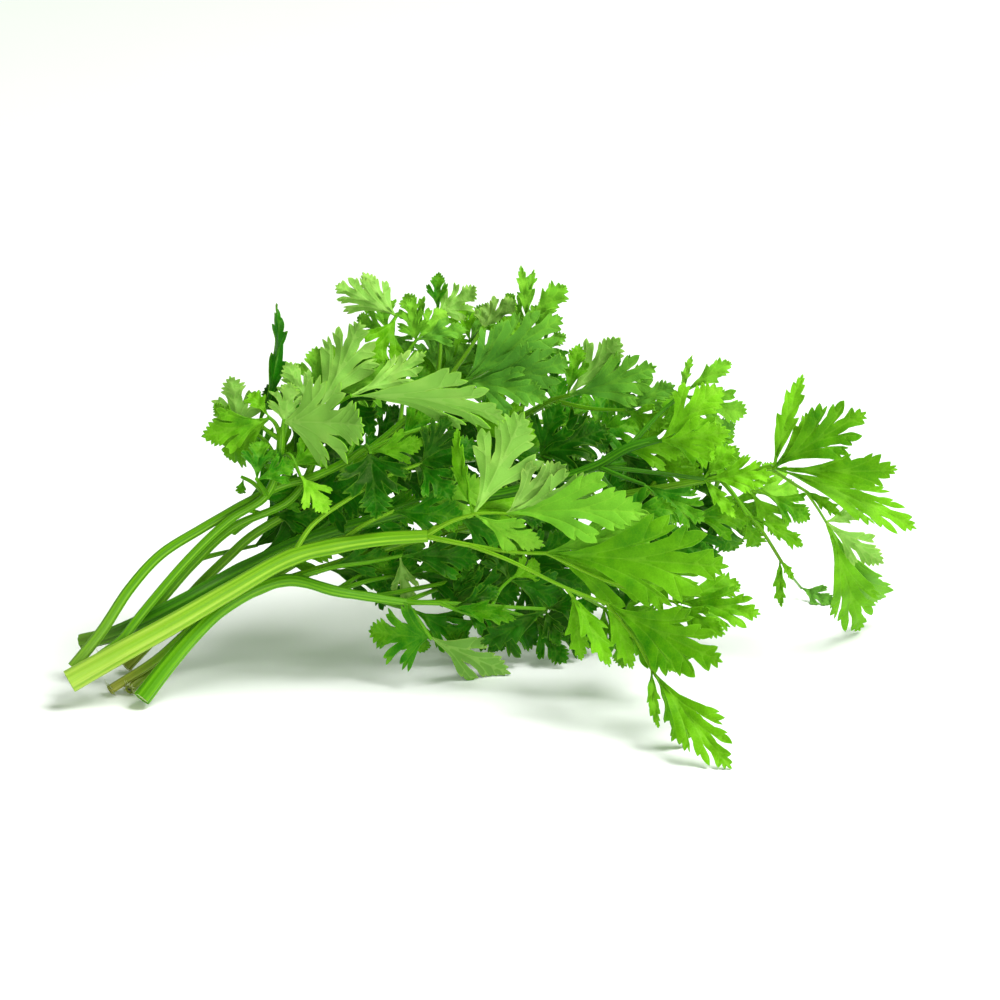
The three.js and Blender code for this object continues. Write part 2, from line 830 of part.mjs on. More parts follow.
const bunch = new THREE.Group();
SPRIGS.forEach((sprig, s) => {
  const own = pieces.filter((piece) => piece.sprig === s);
  const whole = own.slice(1).reduce((sum, piece) => sum.add(piece.solid), own[0].solid);
  // The outer body alone, so that a hollow sealed between leaflets is filled.
  const outer = whole.decompose().reduce((a, b) => (a.volume() > b.volume() ? a : b));
  const mesh = outer.asOriginal().simplify(FACET_MERGE).getMesh();
  const geometry = new THREE.BufferGeometry();
  geometry.setAttribute("position", new THREE.Float32BufferAttribute(mesh.vertProperties, 3));
  geometry.setIndex(new THREE.Uint32BufferAttribute(mesh.triVerts, 1));
  geometry.computeVertexNormals();
  const material = new THREE.MeshStandardMaterial({ color: sprig.color, roughness: 0.5, metalness: 0 });
  const leafy = new THREE.Mesh(geometry, material);
  leafy.name = sprig.name;
  bunch.add(leafy);
});

export default bunch;
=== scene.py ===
"""A bunch of flat-leaf parsley, freshly cut and lying on a table.

Nine leafy stems, each of which grew as one piece. Every stem is dressed with two objects: its stalk
with the side stems, and its leaflets with their lobes, teeth and veins. Lengths in the tables and in
the constants are in millimetres where nothing else is said, and become metres as a mesh is made.
"""

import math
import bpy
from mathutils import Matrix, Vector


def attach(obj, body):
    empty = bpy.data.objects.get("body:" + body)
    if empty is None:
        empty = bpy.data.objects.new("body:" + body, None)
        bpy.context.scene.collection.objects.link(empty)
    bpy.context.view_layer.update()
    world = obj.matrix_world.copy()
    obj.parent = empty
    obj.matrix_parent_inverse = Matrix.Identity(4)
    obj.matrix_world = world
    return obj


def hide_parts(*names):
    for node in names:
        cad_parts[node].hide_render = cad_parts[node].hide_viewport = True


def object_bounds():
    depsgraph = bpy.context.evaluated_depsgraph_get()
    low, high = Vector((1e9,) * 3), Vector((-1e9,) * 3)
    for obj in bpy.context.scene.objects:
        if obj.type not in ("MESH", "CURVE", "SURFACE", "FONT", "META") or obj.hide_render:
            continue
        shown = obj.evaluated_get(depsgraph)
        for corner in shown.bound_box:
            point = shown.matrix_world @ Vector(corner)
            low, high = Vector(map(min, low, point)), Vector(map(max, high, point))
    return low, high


bl_info = {
    "name": "Parsley Bunch",
    "version": (1, 0, 0),
    "blender": (4, 5, 0),
    "location": "View3D > Sidebar > Parsley",
    "description": "Stalks, leaflets and stage of a bunch of flat-leaf parsley",
    "category": "Add Mesh",
}

import bpy
import numpy as np
from bpy.props import FloatProperty, FloatVectorProperty, PointerProperty
from mathutils import Vector
from mathutils.geometry import delaunay_2d_cdt
from mathutils.kdtree import KDTree

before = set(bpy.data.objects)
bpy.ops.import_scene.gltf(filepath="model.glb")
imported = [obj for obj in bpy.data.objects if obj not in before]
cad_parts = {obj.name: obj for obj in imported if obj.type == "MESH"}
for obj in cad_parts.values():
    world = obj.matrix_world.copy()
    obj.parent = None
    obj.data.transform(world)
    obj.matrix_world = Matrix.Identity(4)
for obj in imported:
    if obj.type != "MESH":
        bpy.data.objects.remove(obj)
CAD_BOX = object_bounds()

MM = 0.001
TINY = 1e-12  # in place of a zero that something would be divided by

# The layout board that the stems are drawn on: it leans back over the table.
STEP = 0.28  # one step of the board
LEAN = math.radians(20)
CENTRE_ACROSS = 491.5  # the board step over the origin
TABLE_DOWN = 690  # the board step at which the board meets the table
SET_BACK = 11.5
FACING = np.array((0.0, -math.cos(LEAN), math.sin(LEAN)))
TABLE = math.inf  # in place of a distance behind the board: on the table

# The plain solids that the pieces stand for.
SOLID_THICKNESS = 0.8
KNOT = 0.8  # how far a stem goes on past the point that its leaflets spring from
FOLD = 0.22  # rise of a leaflet's halves on either side of its midrib
ARCH = 0.07  # rise of its midrib, as a share of its length
WOBBLE = (0.03, 0.2)  # spread of the edge points, along and across a leaflet
MATCH = 0.02  # how near a leaflet's corner comes to the solid's own
MATCH_ENOUGH = 10  # corners found that tell a bend for certain

# Draws that are the same every time: the numbers that make them, and which one each use takes.
DRAW_NUMBERS = (12.9898, 78.233, 43758.5453)
ACROSS_DRAW = 20
RIGHT_DRAW = 40
FINE_ALONG_DRAW = 100
FINE_ACROSS_DRAW = 200
FINE_SIDE_DRAW = 50
PHASE_DRAW, PITCH_DRAW, CURL_DRAW, TONE_DRAW, GREY_DRAW = range(301, 306)
FIRST_INNER_SEED = 500

# Leaflets.
COMMON_CUT = "ovate"
FOLD_SOFTNESS = 0.02
ROOT_WIDTH = 0.3
LEAF_THICKNESS = 0.3
FLOOR_GAP = 0.16
BOX_INSET = 0.05  # kept inside the box that the solids fill
NEAR_STEP = 1.5  # spacing of the points that tell how near a leaflet comes to others
NEAR_ROOT = 0.3  # share of its length at the root that they leave out
NEAR_ENOUGH = 1.6
EDGE_STEP = 0.5  # spacing of points along the edge
GRID_STEP = 0.72  # and inside it
GRID_ROOM = 0.45  # share of that spacing kept free beside the edge and the veins
WELD = 1e-5
TOOTH_BULGE = 0.06  # how far the edge between a notch and a tooth bows outwards, to its length
FINE_WOBBLE = (0.012, 0.07)
VEIN_SPREAD = 1.15  # how far before its tooth a side vein leaves its lobe's vein
VEIN_START = (0.06, 0.85)  # the shares of the lobe's vein between which it does
VEIN_END = 0.9
VEIN_BOW = 0.07
MIDRIB_START = 0.01
MIDRIB_SHARE = 0.96
VEIN_WIDTHS = (1.0, 0.72, 0.5)  # midrib, lobes' veins and teeth's veins
PUFF = 0.26  # rise of the tissue between the veins
PUFF_WIDTH = 0.9
RUFFLE = 0.42  # height of the waves along the edge
RUFFLE_WIDTH = 1.8
RUFFLE_PITCH = (0.16, 0.05)  # half a wave to the leaflet's length, and its spread
RUFFLE_PHASE = 6.3  # spread of where the waves start
HALF_PHASE = 1.7  # between the waves of a leaflet's halves
CURL = 0.5  # how far the tooth tips turn down
CURL_TIP = 0.8
CURL_SPREAD = 1.2
CURL_FURTHEST = 1.1
CURL_POWERS = (3, 4)  # across and along: the higher, the nearer to the edge it starts
CALM_ROOT = 3.0  # length of the root over which the relief sets in
TONE_SPREAD = 0.12
GREY_SPREAD = 0.15
LEAF_CREASE = math.radians(55)

# Stalks.
PATH_STEPS = 8  # steps of a stem between two of its places
RIBS = 9
RIB_DEPTH = 0.09
RIB_POINTS = 6  # points of the section for each rib
TWIG_POINTS = 12
TWIG_GROOVE = 0.16
GROOVE_POWER = 6
TWIG_RADII = (0.8, 0.48)
TWIG_SHARE = 0.85  # of the thickness of the stem that a side stem leaves
STALK_SCALE = 0.97
FLARE = 0.2  # how much wider a side stem is where it leaves its stalk
FLARE_REACH = 2.2
NODE_SWELL = 0.1  # how much a stalk swells where a side stem leaves it
NODE_REACH = 3.2
PITH_INSET = 0.45
PITH_DEPTH = 0.35
SIDE_CORNERS = 4  # of the faces along a stalk; its end caps have more
STALK_CREASE = math.radians(50)

# The stage. The view is square and looks straight at the board.
VIEW_CENTRE = (500, 500)  # the board place in its middle
VIEW_STEPS = 1000  # board steps across it
CLIP = (0.1, 50)  # metres
AIM = (0.0, 0.0, 0.04)  # where the lights point, in metres
KEY_LIGHT = ((0.6, -0.08, 1.1), 0.75)  # place and side, in metres
FRONT_LIGHT = ((0.3, -1.5, 0.35), 0.8)
SKY_COLOR = (0.8, 1.0, 0.72)

# Changes that bend a leaflet clear of another: millimetres that its tip moves back, and degrees that
# its face turns.
BENDS = (
    (0, 0), (3, 0), (-3, 0), (0, 12), (0, -12), (6, 0), (-6, 0), (3, 16), (-3, -16), (9, 0), (-9, 0),
    (6, -20), (-6, 20), (12, 0), (-12, 0), (9, 25), (-9, -25), (16, 0), (-16, 0), (0, 35), (0, -35),
    (12, -30), (-12, 30), (20, 0), (-20, 0), (16, 35), (-16, -35), (0, 55), (0, -55), (25, 0), (-25, 0),
)

# Finishes: scales of the patterns, per metre, and depths of their relief, in metres. A reach is the
# distance from a vein or the edge at which its effect starts and ends, in millimetres, and a span has
# the effect at the start and at the end.
MIX_INPUTS = (0, 6, 7)  # the share and the two colours, where colours are mixed
MIX_OUTPUT = 2
NOISE_SPAN = (0.3, 0.7)  # between which nearly all of a noise lies
CLOUD_SCALE = 70.0
CLOUD_SPAN = (-0.12, 0.12)
NET_SCALE = 1100.0
NET_WIDTH = 0.12

# The leaflets' upper side.
PATCH_SCALE = 260.0
PATCH_SPAN = (-0.07, 0.07)
NET_SPAN = (0.03, -0.04)
TIP_REACH = (0.3, 1.0)  # shares of the length
TIP_SPAN = (-0.05, 0.08)
DEEPEST = 0.35  # brightness of the darkest tissue, to the deep colour
LEAF_STOPS = (0.0, 0.28, 0.55, 0.8, 1.0)
VEIN_REACH = (0.04, 0.36)
VEIN_TONES = (0.1, 0.9)  # a dark and a bright leaflet
VEIN_CONTRAST = (0.06, 0.34)  # of their veins
RIM_REACH = (0.0, 0.3)
RIM_SPAN = (0.16, 0.0)
DULL_TO_GLOSSY = (0.6, 0.33)  # roughness
GLOSS_SCALE = 160.0
GLOSS_SPAN = (-0.05, 0.08)
LEAF_SHINE = 0.16
LEAF_GLINT = (0.8, 1.0, 0.3)
GROOVE_REACH = (0.0, 0.5)
NET_RELIEF = 0.3
LEAF_BUMP = 0.5
LEAF_RELIEF = 0.00016

# Their lower side.
UNDERSIDE_STOPS = (0.0, 0.5, 0.85, 1.0)
UNDERSIDE_SHADE = 0.55
UNDERSIDE_GREY = 0.6
UNDERSIDE_LIGHT = (0.48, 0.76, 0.14)
UNDERSIDE_VEIN = (0.46, 0.72, 0.16)
UNDERSIDE_RIM = (0.5, 0.72, 0.12)
# Painted shade in the hollows beside the raised veins: darker green near a vein, fading out away from it.
HOLLOW_SHADE_REACH = (0.25, 0.9)
HOLLOW_SHADE_SPAN = (0.12, 0.0)
RIDGE_REACH = (0.05, 0.33)
RIDGE_SPAN = (0.25, 0.0)
UNDERSIDE_RIM_REACH = (0.0, 0.35)
UNDERSIDE_RIM_SPAN = (0.3, 0.0)
UNDERSIDE_ROUGHNESS = 0.58
UNDERSIDE_SHINE = 0.22
RISE_REACH = (0.0, 0.45)
UNDERSIDE_NET_RELIEF = -0.25
UNDERSIDE_RELIEF = 0.00018

# The stalks and their cut ends.
STREAK = 0.5  # how far a stalk's streaks change over its length
STRIPE_SCALE = 3.4  # round a stalk, so without a unit
STRIPE_DETAIL = 3.0
STRIPE_SPAN = (0.18, 0.75)
# Painted shade in a stalk's grooves and painted highlight on its ribs.
RIB_SHADE_AND_HIGHLIGHT_SPAN = (-0.1, 0.14)
STALK_STOPS = (0.05, 0.5, 0.95)
STALK_CLOUD_SCALE = 40.0
STALK_CLOUD_REACH = (0.35, 0.75)  # of the noise
STALK_CLOUD_SPAN = (0.0, 0.3)
STALK_SHADE = 0.6
CUT_BLEACH = (0.42, 0.56, 0.1)  # of the skin next to a cut end
CUT_REACH = (-0.119, -0.1)  # where along the bunch it fades, in metres
CUT_SPAN = (0.3, 0.0)
STRIPE_ROUGHNESS = (0.46, 0.32)
STALK_SHINE = 0.25
STALK_GLINT = (0.9, 1.0, 0.5)
JUICE = 0.12  # share of the light that goes under the skin
JUICE_COLOR = (0.5, 1.0, 0.2)
JUICE_DEPTH = 0.001
STALK_GRAIN_SCALE = 900.0
STALK_GRAIN = 0.2
STALK_BUMP = 0.4
STALK_RELIEF = 0.0003
PITH_SCALE = 1500.0
PITH_STOPS = (0.1, 0.6)
PITH_COLORS = ((0.42, 0.55, 0.18), (0.68, 0.75, 0.42))
PITH_CLOUD_SCALE = 500.0
PITH_CLOUD_REACH = (0.4, 0.7)
PITH_CLOUD_SPAN = (0.0, 0.4)
PITH_CLOUD = (0.55, 0.5, 0.25)
PITH_ROUGHNESS = 0.55
PITH_BUMP = 0.5

# The floor.
FLOOR_SCALE = 30.0
FLOOR_SPAN = (0.9, 1.0)
FLOOR_GRAIN = (0.9, 0.9, 0.9)
FLOOR_ROUGHNESS = 0.5
FLOOR_SHINE = 0.2

# A stalk's colours in its grooves, in between and on its ribs.
# The groove colours are partly painted shade and the rib colours partly painted highlight.
STALK_COLORS = {
    "pale": ((0.12, 0.32, 0.01), (0.25, 0.46, 0.024), (0.48, 0.62, 0.11)),
    "green": ((0.035, 0.16, 0.002), (0.08, 0.28, 0.003), (0.2, 0.46, 0.014)),
    "fresh": ((0.05, 0.2, 0.002), (0.12, 0.34, 0.004), (0.32, 0.56, 0.03)),
    "dark": ((0.01, 0.08, 0.001), (0.03, 0.16, 0.002), (0.09, 0.3, 0.006)),
    "brown": ((0.1, 0.1, 0.012), (0.24, 0.24, 0.03), (0.42, 0.38, 0.1)),
}
# The colours that a stalk turns to, and where along the bunch it does, in metres.
TURNS = {"pale": ("fresh", -0.1, -0.055), "brown": ("green", -0.106, -0.09)}

# How a leaflet looks: its brightness from deep to lime, how grey and how glossy it is.
LOOKS = {
    "dark": (0.12, 0.0, 0.9),
    "deep": (0.35, 0.03, 0.8),
    "leaf": (0.58, 0.0, 0.55),
    "fresh": (0.72, 0.0, 0.5),
    # lime: a yellow-green leaflet, brightened further with painted glow of light shining through it from
    # behind.
    "lime": (1.02, 0.1, 0.3),
    "light": (0.8, 0.38, 0.35),
    "grey": (0.42, 0.6, 0.35),
    "dull": (0.2, 0.9, 0.2),
    "olive": (0.5, 0.3, 0.3),
}

# Half a leaflet, lobe by lobe from its root: the share of the length at which the lobe's vein leaves
# the midrib, then its edge as (kind, share of the length, share of the half width). T and N are the
# teeth and notches that the plain solids have too, t and n are finer ones, s is a smooth bend.
LOBES = {
    "ovate": (
        (0.1, (
            ("s", 0.07, 0.05), ("s", 0.2, 0.14), ("S", 0.34, 0.34), ("s", 0.45, 0.62), ("T", 0.54, 0.86),
            ("n", 0.545, 0.75), ("s", 0.61, 0.93), ("T", 0.69, 0.94), ("n", 0.665, 0.74),
            ("T", 0.71, 0.66), ("s", 0.6, 0.44), ("N", 0.48, 0.23),
        )),
        (0.44, (
            ("s", 0.58, 0.27), ("s", 0.68, 0.4), ("T", 0.78, 0.56), ("n", 0.77, 0.42), ("t", 0.855, 0.53),
            ("n", 0.845, 0.34),
        )),
        (0.62, (("T", 0.9, 0.42), ("n", 0.89, 0.24), ("t", 0.955, 0.24), ("n", 0.945, 0.1))),
    ),
    "fingered": (
        (0.08, (
            ("s", 0.07, 0.04), ("s", 0.18, 0.11), ("S", 0.3, 0.26), ("s", 0.43, 0.52), ("s", 0.53, 0.74),
            ("T", 0.62, 0.95), ("n", 0.615, 0.79), ("t", 0.69, 0.99), ("n", 0.68, 0.78),
            ("T", 0.73, 0.84), ("s", 0.655, 0.58), ("s", 0.57, 0.4), ("N", 0.48, 0.27),
        )),
        (0.4, (
            ("s", 0.58, 0.36), ("s", 0.68, 0.5), ("T", 0.78, 0.74), ("n", 0.775, 0.6), ("s", 0.84, 0.66),
            ("T", 0.885, 0.6), ("s", 0.81, 0.34), ("N", 0.68, 0.2),
        )),
        (0.64, (
            ("s", 0.8, 0.2), ("s", 0.87, 0.28), ("T", 0.93, 0.34), ("n", 0.925, 0.15),
            ("t", 0.97, 0.2), ("n", 0.962, 0.06),
        )),
    ),
    "trefoil": (
        (0.04, (
            ("s", 0.05, 0.08), ("S", 0.14, 0.3), ("s", 0.2, 0.62), ("s", 0.24, 0.8),
            ("T", 0.3, 0.94), ("n", 0.31, 0.74), ("t", 0.385, 1.0), ("n", 0.38, 0.78), ("T", 0.44, 0.9),
            ("s", 0.41, 0.6), ("N", 0.33, 0.36),
        )),
        (0.1, (
            ("s", 0.43, 0.42), ("s", 0.52, 0.6), ("s", 0.58, 0.77), ("T", 0.64, 0.88),
            ("n", 0.63, 0.66), ("T", 0.7, 0.62), ("s", 0.6, 0.38), ("N", 0.48, 0.22),
        )),
        (0.44, (
            ("s", 0.6, 0.25), ("s", 0.7, 0.33), ("t", 0.775, 0.46), ("n", 0.77, 0.3),
        )),
        (0.62, (
            ("T", 0.84, 0.44), ("n", 0.835, 0.24), ("t", 0.91, 0.33), ("n", 0.9, 0.14), ("t", 0.962, 0.17),
            ("n", 0.95, 0.05),
        )),
    ),
    "strap": (
        (0.1, (
            ("s", 0.1, 0.13), ("S", 0.3, 0.5), ("s", 0.44, 0.74), ("T", 0.56, 1.0), ("n", 0.55, 0.72),
            ("N", 0.54, 0.55),
        )),
        (0.4, (("s", 0.68, 0.62), ("T", 0.8, 0.85), ("n", 0.79, 0.58), ("N", 0.79, 0.4))),
        (0.68, (("t", 0.9, 0.46), ("n", 0.895, 0.24), ("t", 0.965, 0.22), ("n", 0.955, 0.08))),
    ),
    "wedge": (
        (0.16, (
            ("s", 0.1, 0.06), ("s", 0.25, 0.16), ("S", 0.4, 0.36), ("s", 0.52, 0.62), ("s", 0.585, 0.79),
            ("T", 0.66, 0.95), ("n", 0.65, 0.74), ("N", 0.66, 0.58),
        )),
        (0.42, (
            ("s", 0.75, 0.7), ("t", 0.82, 0.92), ("n", 0.81, 0.72), ("T", 0.88, 0.9), ("n", 0.87, 0.62),
            ("N", 0.86, 0.42),
        )),
        (0.66, (("t", 0.95, 0.44), ("n", 0.945, 0.22), ("t", 0.985, 0.2), ("n", 0.97, 0.06))),
    ),
}

# The stems. A place is (steps across the board, steps down it, millimetres behind it). A side stem is
# its route and the leaflets at its end, each (tip place, half width to length, turn away from the board
# in degrees, look) and its cut where that isn't the common one. The inner side stems lie deep inside
# the bunch and close it up.
MAIN_SPRIG = {
    "name": "main_sprig", "finish": "pale", "radii": (3.5, 1.9),
    "stalk": (
        (71, 681, -16), (117, 655, -15), (175, 623, -14), (232, 590, -13), (292, 557, -12), (335, 546, -12),
        (381, 539, -12), (425, 536, -13),
    ),
    "twigs": (
        (((292, 557, -12), (313, 525, -14), (352, 497, -12), (384, 478, -11), (420, 464, -10)), (
            ((482, 446, -8), 0.5, 20, "dark", "trefoil"), ((448, 416, -4), 0.36, -20, "dark", "fingered"),
            ((452, 500, -16), 0.39, 10, "dark"))),
        (((425, 536, -13), (450, 522, -16), (474, 514, -18)), (
            ((524, 412, -16), 0.35, 190, "light"), ((457, 428, -14), 0.12, 40, "leaf", "strap"),
            ((545, 546, -22), 0.26, -20, "light"))),
        (((474, 514, -18), (490, 513, -19), (506, 514, -20)), (
            ((566, 464, -15), 0.34, 160, "leaf"), ((599, 480, -21), 0.26, 185, "light"),
            ((648, 513, -27), 0.26, 20, "light"))),
        (((425, 536, -13), (470, 545, -18), (516, 552, -21), (546, 553, -23)), (
            ((662, 526, -24), 0.26, 15, "light"), ((726, 566, -32), 0.25, 0, "leaf", "fingered"),
            ((667, 588, -31), 0.31, -15, "leaf"))),
        (((546, 553, -23), (610, 582, -28), (672, 601, -32)), (
            ((758, 613, -38), 0.28, 10, "leaf", "fingered"), ((739, 584, -33), 0.25, 30, "leaf", "wedge"),
            ((723, 633, -40), 0.26, -20, "leaf"))),
        (((470, 545, -18), (509, 560, -23), (565, 587, -28), (606, 603, -31)), (
            ((690, 672, -38), 0.26, 20, "leaf"), ((720, 660, -44), 0.26, -10, "leaf", "fingered"),
            ((632, 668, -30), 0.19, 10, "fresh", "strap"))),
        (((565, 587, -28), (572, 596, -27)), (
            ((581, 660, -24), 0.19, 0, "leaf", "strap"), ((609, 665, -28), 0.17, 20, "fresh", "strap"))),
        (((606, 603, -31), (632, 636, -38), (650, 668, -43)), (
            ((728, 765, TABLE), 0.19, 0, "leaf", "fingered"), ((684, 742, -52), 0.22, 30, "leaf", "wedge"),
            ((656, 725, -48), 0.12, -20, "leaf", "strap"))),
        (((335, 546, -12), (362, 526, -8), (392, 512, -5)), (((466, 518, -4), 0.4, 10, "deep"),)),
    ),
    "inner": (
        (((565, 587, -28), (590, 600, -16), (604, 608, -8)), (
            ((660, 618, -4), 0.42, 15, "leaf"), ((640, 652, -8), 0.4, -10, "leaf"),
            ((600, 654, -4), 0.38, 5, "leaf"))),
        (((425, 536, -13), (440, 524, -4), (456, 516, 2)), (
            ((520, 500, 4), 0.42, 15, "fresh"), ((510, 540, 2), 0.42, -10, "deep"),
            ((470, 470, 4), 0.4, 5, "dark"))),
        (((606, 603, -31), (616, 612, -22), (622, 618, -14)), (
            ((676, 640, -16), 0.4, 10, "leaf"), ((622, 668, -12), 0.36, -10, "deep"),
            ((628, 566, -8), 0.42, 10, "dark"))),
    ),
}
LOW_SPRIG = {
    "name": "low_sprig", "finish": "green", "radii": (2.7, 1.1),
    "stalk": (
        (143, 698, -14.3), (170, 663, -12), (198, 631, -10), (221, 610, -8), (262, 587, -6), (292, 580, -6),
        (336, 591, -7), (372, 597, -6), (405, 602, -5),
    ),
    "twigs": (
        (((292, 580, -6), (330, 568, -3), (370, 562, 1), (400, 556, 4)), (
            ((410, 603, 4), 0.34, 200, "olive"), ((480, 559, 8), 0.31, 10, "dark"))),
        (((405, 602, -5), (420, 622, -4), (430, 637, -3)), (
            ((368, 631, 2), 0.53, 15, "deep", "trefoil"), ((510, 674, TABLE), 0.24, 190, "grey"))),
        (((405, 602, -5), (441, 603, -6), (492, 606, -5), (545, 609, -4)), (
            ((480, 645, 2), 0.19, 10, "dark", "strap"), ((600, 606, -10), 0.34, 20, "dark"),
            ((560, 646, -8), 0.31, -10, "dark"))),
        (((441, 603, -6), (452, 608, -7)), (
            ((516, 619, -12), 0.18, 20, "deep", "strap"), ((500, 588, -8), 0.26, -10, "dark"))),
        (((372, 597, -6), (420, 588, 8), (470, 578, 20), (520, 572, 30)), (
            ((600, 590, 34), 0.5, 20, "deep", "trefoil"), ((572, 530, 32), 0.39, -15, "deep"),
            ((540, 622, 34), 0.39, 0, "dark"))),
        (((336, 591, -7), (372, 580, 6), (410, 574, 14)), (
            ((486, 590, 18), 0.4, 15, "dark"), ((470, 544, 16), 0.36, -10, "deep"))),
    ),
    "inner": (
        (((405, 602, -5), (430, 602, 6), (452, 600, 13)), (
            ((506, 622, 18), 0.42, 15, "dark"), ((522, 590, 22), 0.45, -10, "dark", "trefoil"),
            ((474, 566, 18), 0.4, 5, "dark"))),
        (((336, 591, -7), (352, 580, 4), (366, 572, 12)), (
            ((420, 566, 18), 0.4, 10, "deep"), ((404, 600, 22), 0.4, -10, "dark"),
            ((424, 538, 16), 0.4, -15, "deep"))),
        (((292, 580, -6), (312, 572, 2), (326, 568, 8)), (
            ((392, 556, 12), 0.28, 10, "deep"), ((388, 584, 14), 0.28, -10, "dark"))),
        (((372, 597, -6), (396, 606, 6), (412, 610, 14)), (
            ((470, 646, 20), 0.36, 10, "deep"), ((424, 654, 18), 0.36, -10, "deep"))),
        (((405, 602, -5), (430, 592, 10), (452, 586, 24)), (
            ((530, 574, 30), 0.44, 10, "dark"), ((506, 602, 30), 0.4, -10, "dark"))),
        (((441, 603, -6), (462, 612, 4), (480, 618, 12)), (
            ((540, 640, 22), 0.42, 10, "dark"), ((502, 652, 20), 0.4, -10, "dark"),
            ((446, 636, 18), 0.4, 5, "deep"))),
        (((492, 606, -5), (516, 614, 8), (536, 620, 18)), (
            ((604, 640, 26), 0.46, 10, "dark", "trefoil"), ((566, 664, 24), 0.4, -10, "dark"))),
        (((492, 606, -5), (500, 590, 4), (510, 580, 12)), (
            ((540, 564, 18), 0.42, 10, "leaf"), ((490, 548, 18), 0.42, -10, "dark"),
            ((564, 602, 20), 0.42, 10, "dark"))),
    ),
}
ARCHING_SPRIG = {
    "name": "arching_sprig", "finish": "green", "radii": (1.75, 1.1),
    "stalk": (
        (74, 667, -10), (102, 632, -9), (131, 588, -8), (161, 555, -7), (200, 530, -6), (240, 507, -5),
        (280, 486, -4), (313, 477, -4), (345, 462, -5), (366, 448, -7),
    ),
    "twigs": (
        (((345, 462, -5), (366, 448, -9), (370, 452, -12)), (
            ((377, 519, -17), 0.53, 10, "dark", "trefoil"), ((425, 441, -16), 0.34, -15, "leaf"))),
        (((345, 462, -5), (400, 436, -2), (440, 424, 1), (470, 420, 2)), (
            ((536, 436, 0), 0.5, 20, "leaf", "trefoil"), ((505, 392, 2), 0.39, -20, "deep"),
            ((512, 470, -2), 0.39, 0, "dark"))),
        (((345, 462, -5), (372, 408, 3), (400, 362, 8), (416, 340, 10)), (
            ((411, 297, 12), 0.38, 15, "light", "trefoil"), ((445, 308, 12), 0.34, -10, "light"),
            ((468, 329, 8), 0.31, 20, "grey"))),
    ),
    "inner": (
        (((313, 477, -4), (330, 474, 6), (346, 470, 12)), (
            ((402, 484, 14), 0.42, 10, "dark"), ((392, 444, 16), 0.4, -10, "dark"),
            ((346, 424, 12), 0.42, 5, "deep"))),
        (((280, 484, -4), (286, 476, -8), (290, 470, -12)), (
            ((322, 446, -10), 0.42, 10, "leaf"), ((262, 452, -12), 0.42, -10, "dark"))),
        (((240, 507, -5), (256, 512, 2), (268, 514, 8)), (
            ((322, 520, 10), 0.36, 10, "dark"), ((300, 478, 10), 0.36, -10, "deep"))),
        (((345, 462, -5), (358, 468, 4), (368, 470, 12)), (
            ((436, 488, 18), 0.42, 10, "dark"), ((424, 452, 18), 0.4, -10, "dark"))),
        (((345, 462, -5), (340, 470, 2), (336, 478, 8)), (
            ((356, 524, 12), 0.4, 10, "dark"), ((312, 508, 12), 0.36, -10, "dark"))),
    ),
}
LEFT_SPRIG = {
    "name": "left_sprig", "finish": "green", "radii": (1.45, 1.1),
    "stalk": (
        (101, 656, -10), (122, 640, -10), (140, 617, -9), (189, 559, -8), (230, 520, -8), (267, 495, -8),
        (279, 462, -8), (282, 430, -8),
    ),
    "twigs": (
        (((279, 462, -8), (262, 438, -5), (238, 428, -3)), (
            ((230, 376, 0), 0.53, 195, "light", "trefoil"), ((214, 404, -3), 0.39, 20, "leaf"))),
        (((282, 440, -8), (276, 424, -8), (270, 418, -8)), (
            ((202, 437, -9), 0.35, 10, "leaf"), ((226, 458, -10), 0.33, 0, "leaf", "wedge"),
            ((250, 393, -6), 0.34, -15, "leaf", "wedge"))),
        (((282, 440, -8), (269, 432, -7), (259, 423, -6)), (((277, 303, -2), 0.12, -58, "dark", "strap"),)),
        (((282, 440, -8), (283, 430, -9), (284, 422, -10)), (
            ((292, 382, -12), 0.53, 185, "light", "trefoil"),
            ((366, 426, -16), 0.45, 170, "light", "trefoil"))),
        # This leaflet's lime look is partly painted glow of light shining through it from behind.
        (((279, 462, -8), (290, 455, -12), (300, 474, -14)), (((328, 513, -16), 0.39, 15, "lime"),)),
        (((267, 495, -8), (252, 482, -6), (244, 478, -5)), (((240, 494, -4), 0.34, 0, "deep", "wedge"),)),
        (((279, 462, -8), (272, 462, -1), (266, 466, 6)), (
            ((252, 424, 12), 0.42, 10, "deep"), ((308, 436, 14), 0.44, -10, "leaf"))),
    ),
    "inner": (
        (((230, 520, -8), (242, 506, -2), (250, 498, 4)), (
            ((296, 452, 8), 0.36, 10, "deep"), ((318, 486, 8), 0.32, -10, "deep"))),
        (((267, 495, -8), (262, 486, -14), (258, 480, -18)), (
            ((262, 440, -12), 0.42, 12, "deep"), ((296, 462, -16), 0.42, -12, "deep"))),
        (((282, 440, -8), (286, 428, -2), (288, 420, 2)), (
            ((266, 384, 4), 0.42, 12, "dark"), ((312, 396, 6), 0.42, -12, "deep"))),
        (((279, 462, -8), (286, 458, 0), (292, 456, 6)), (
            ((344, 452, 10), 0.4, 12, "dark"), ((312, 412, 10), 0.4, -12, "dark"))),
    ),
}
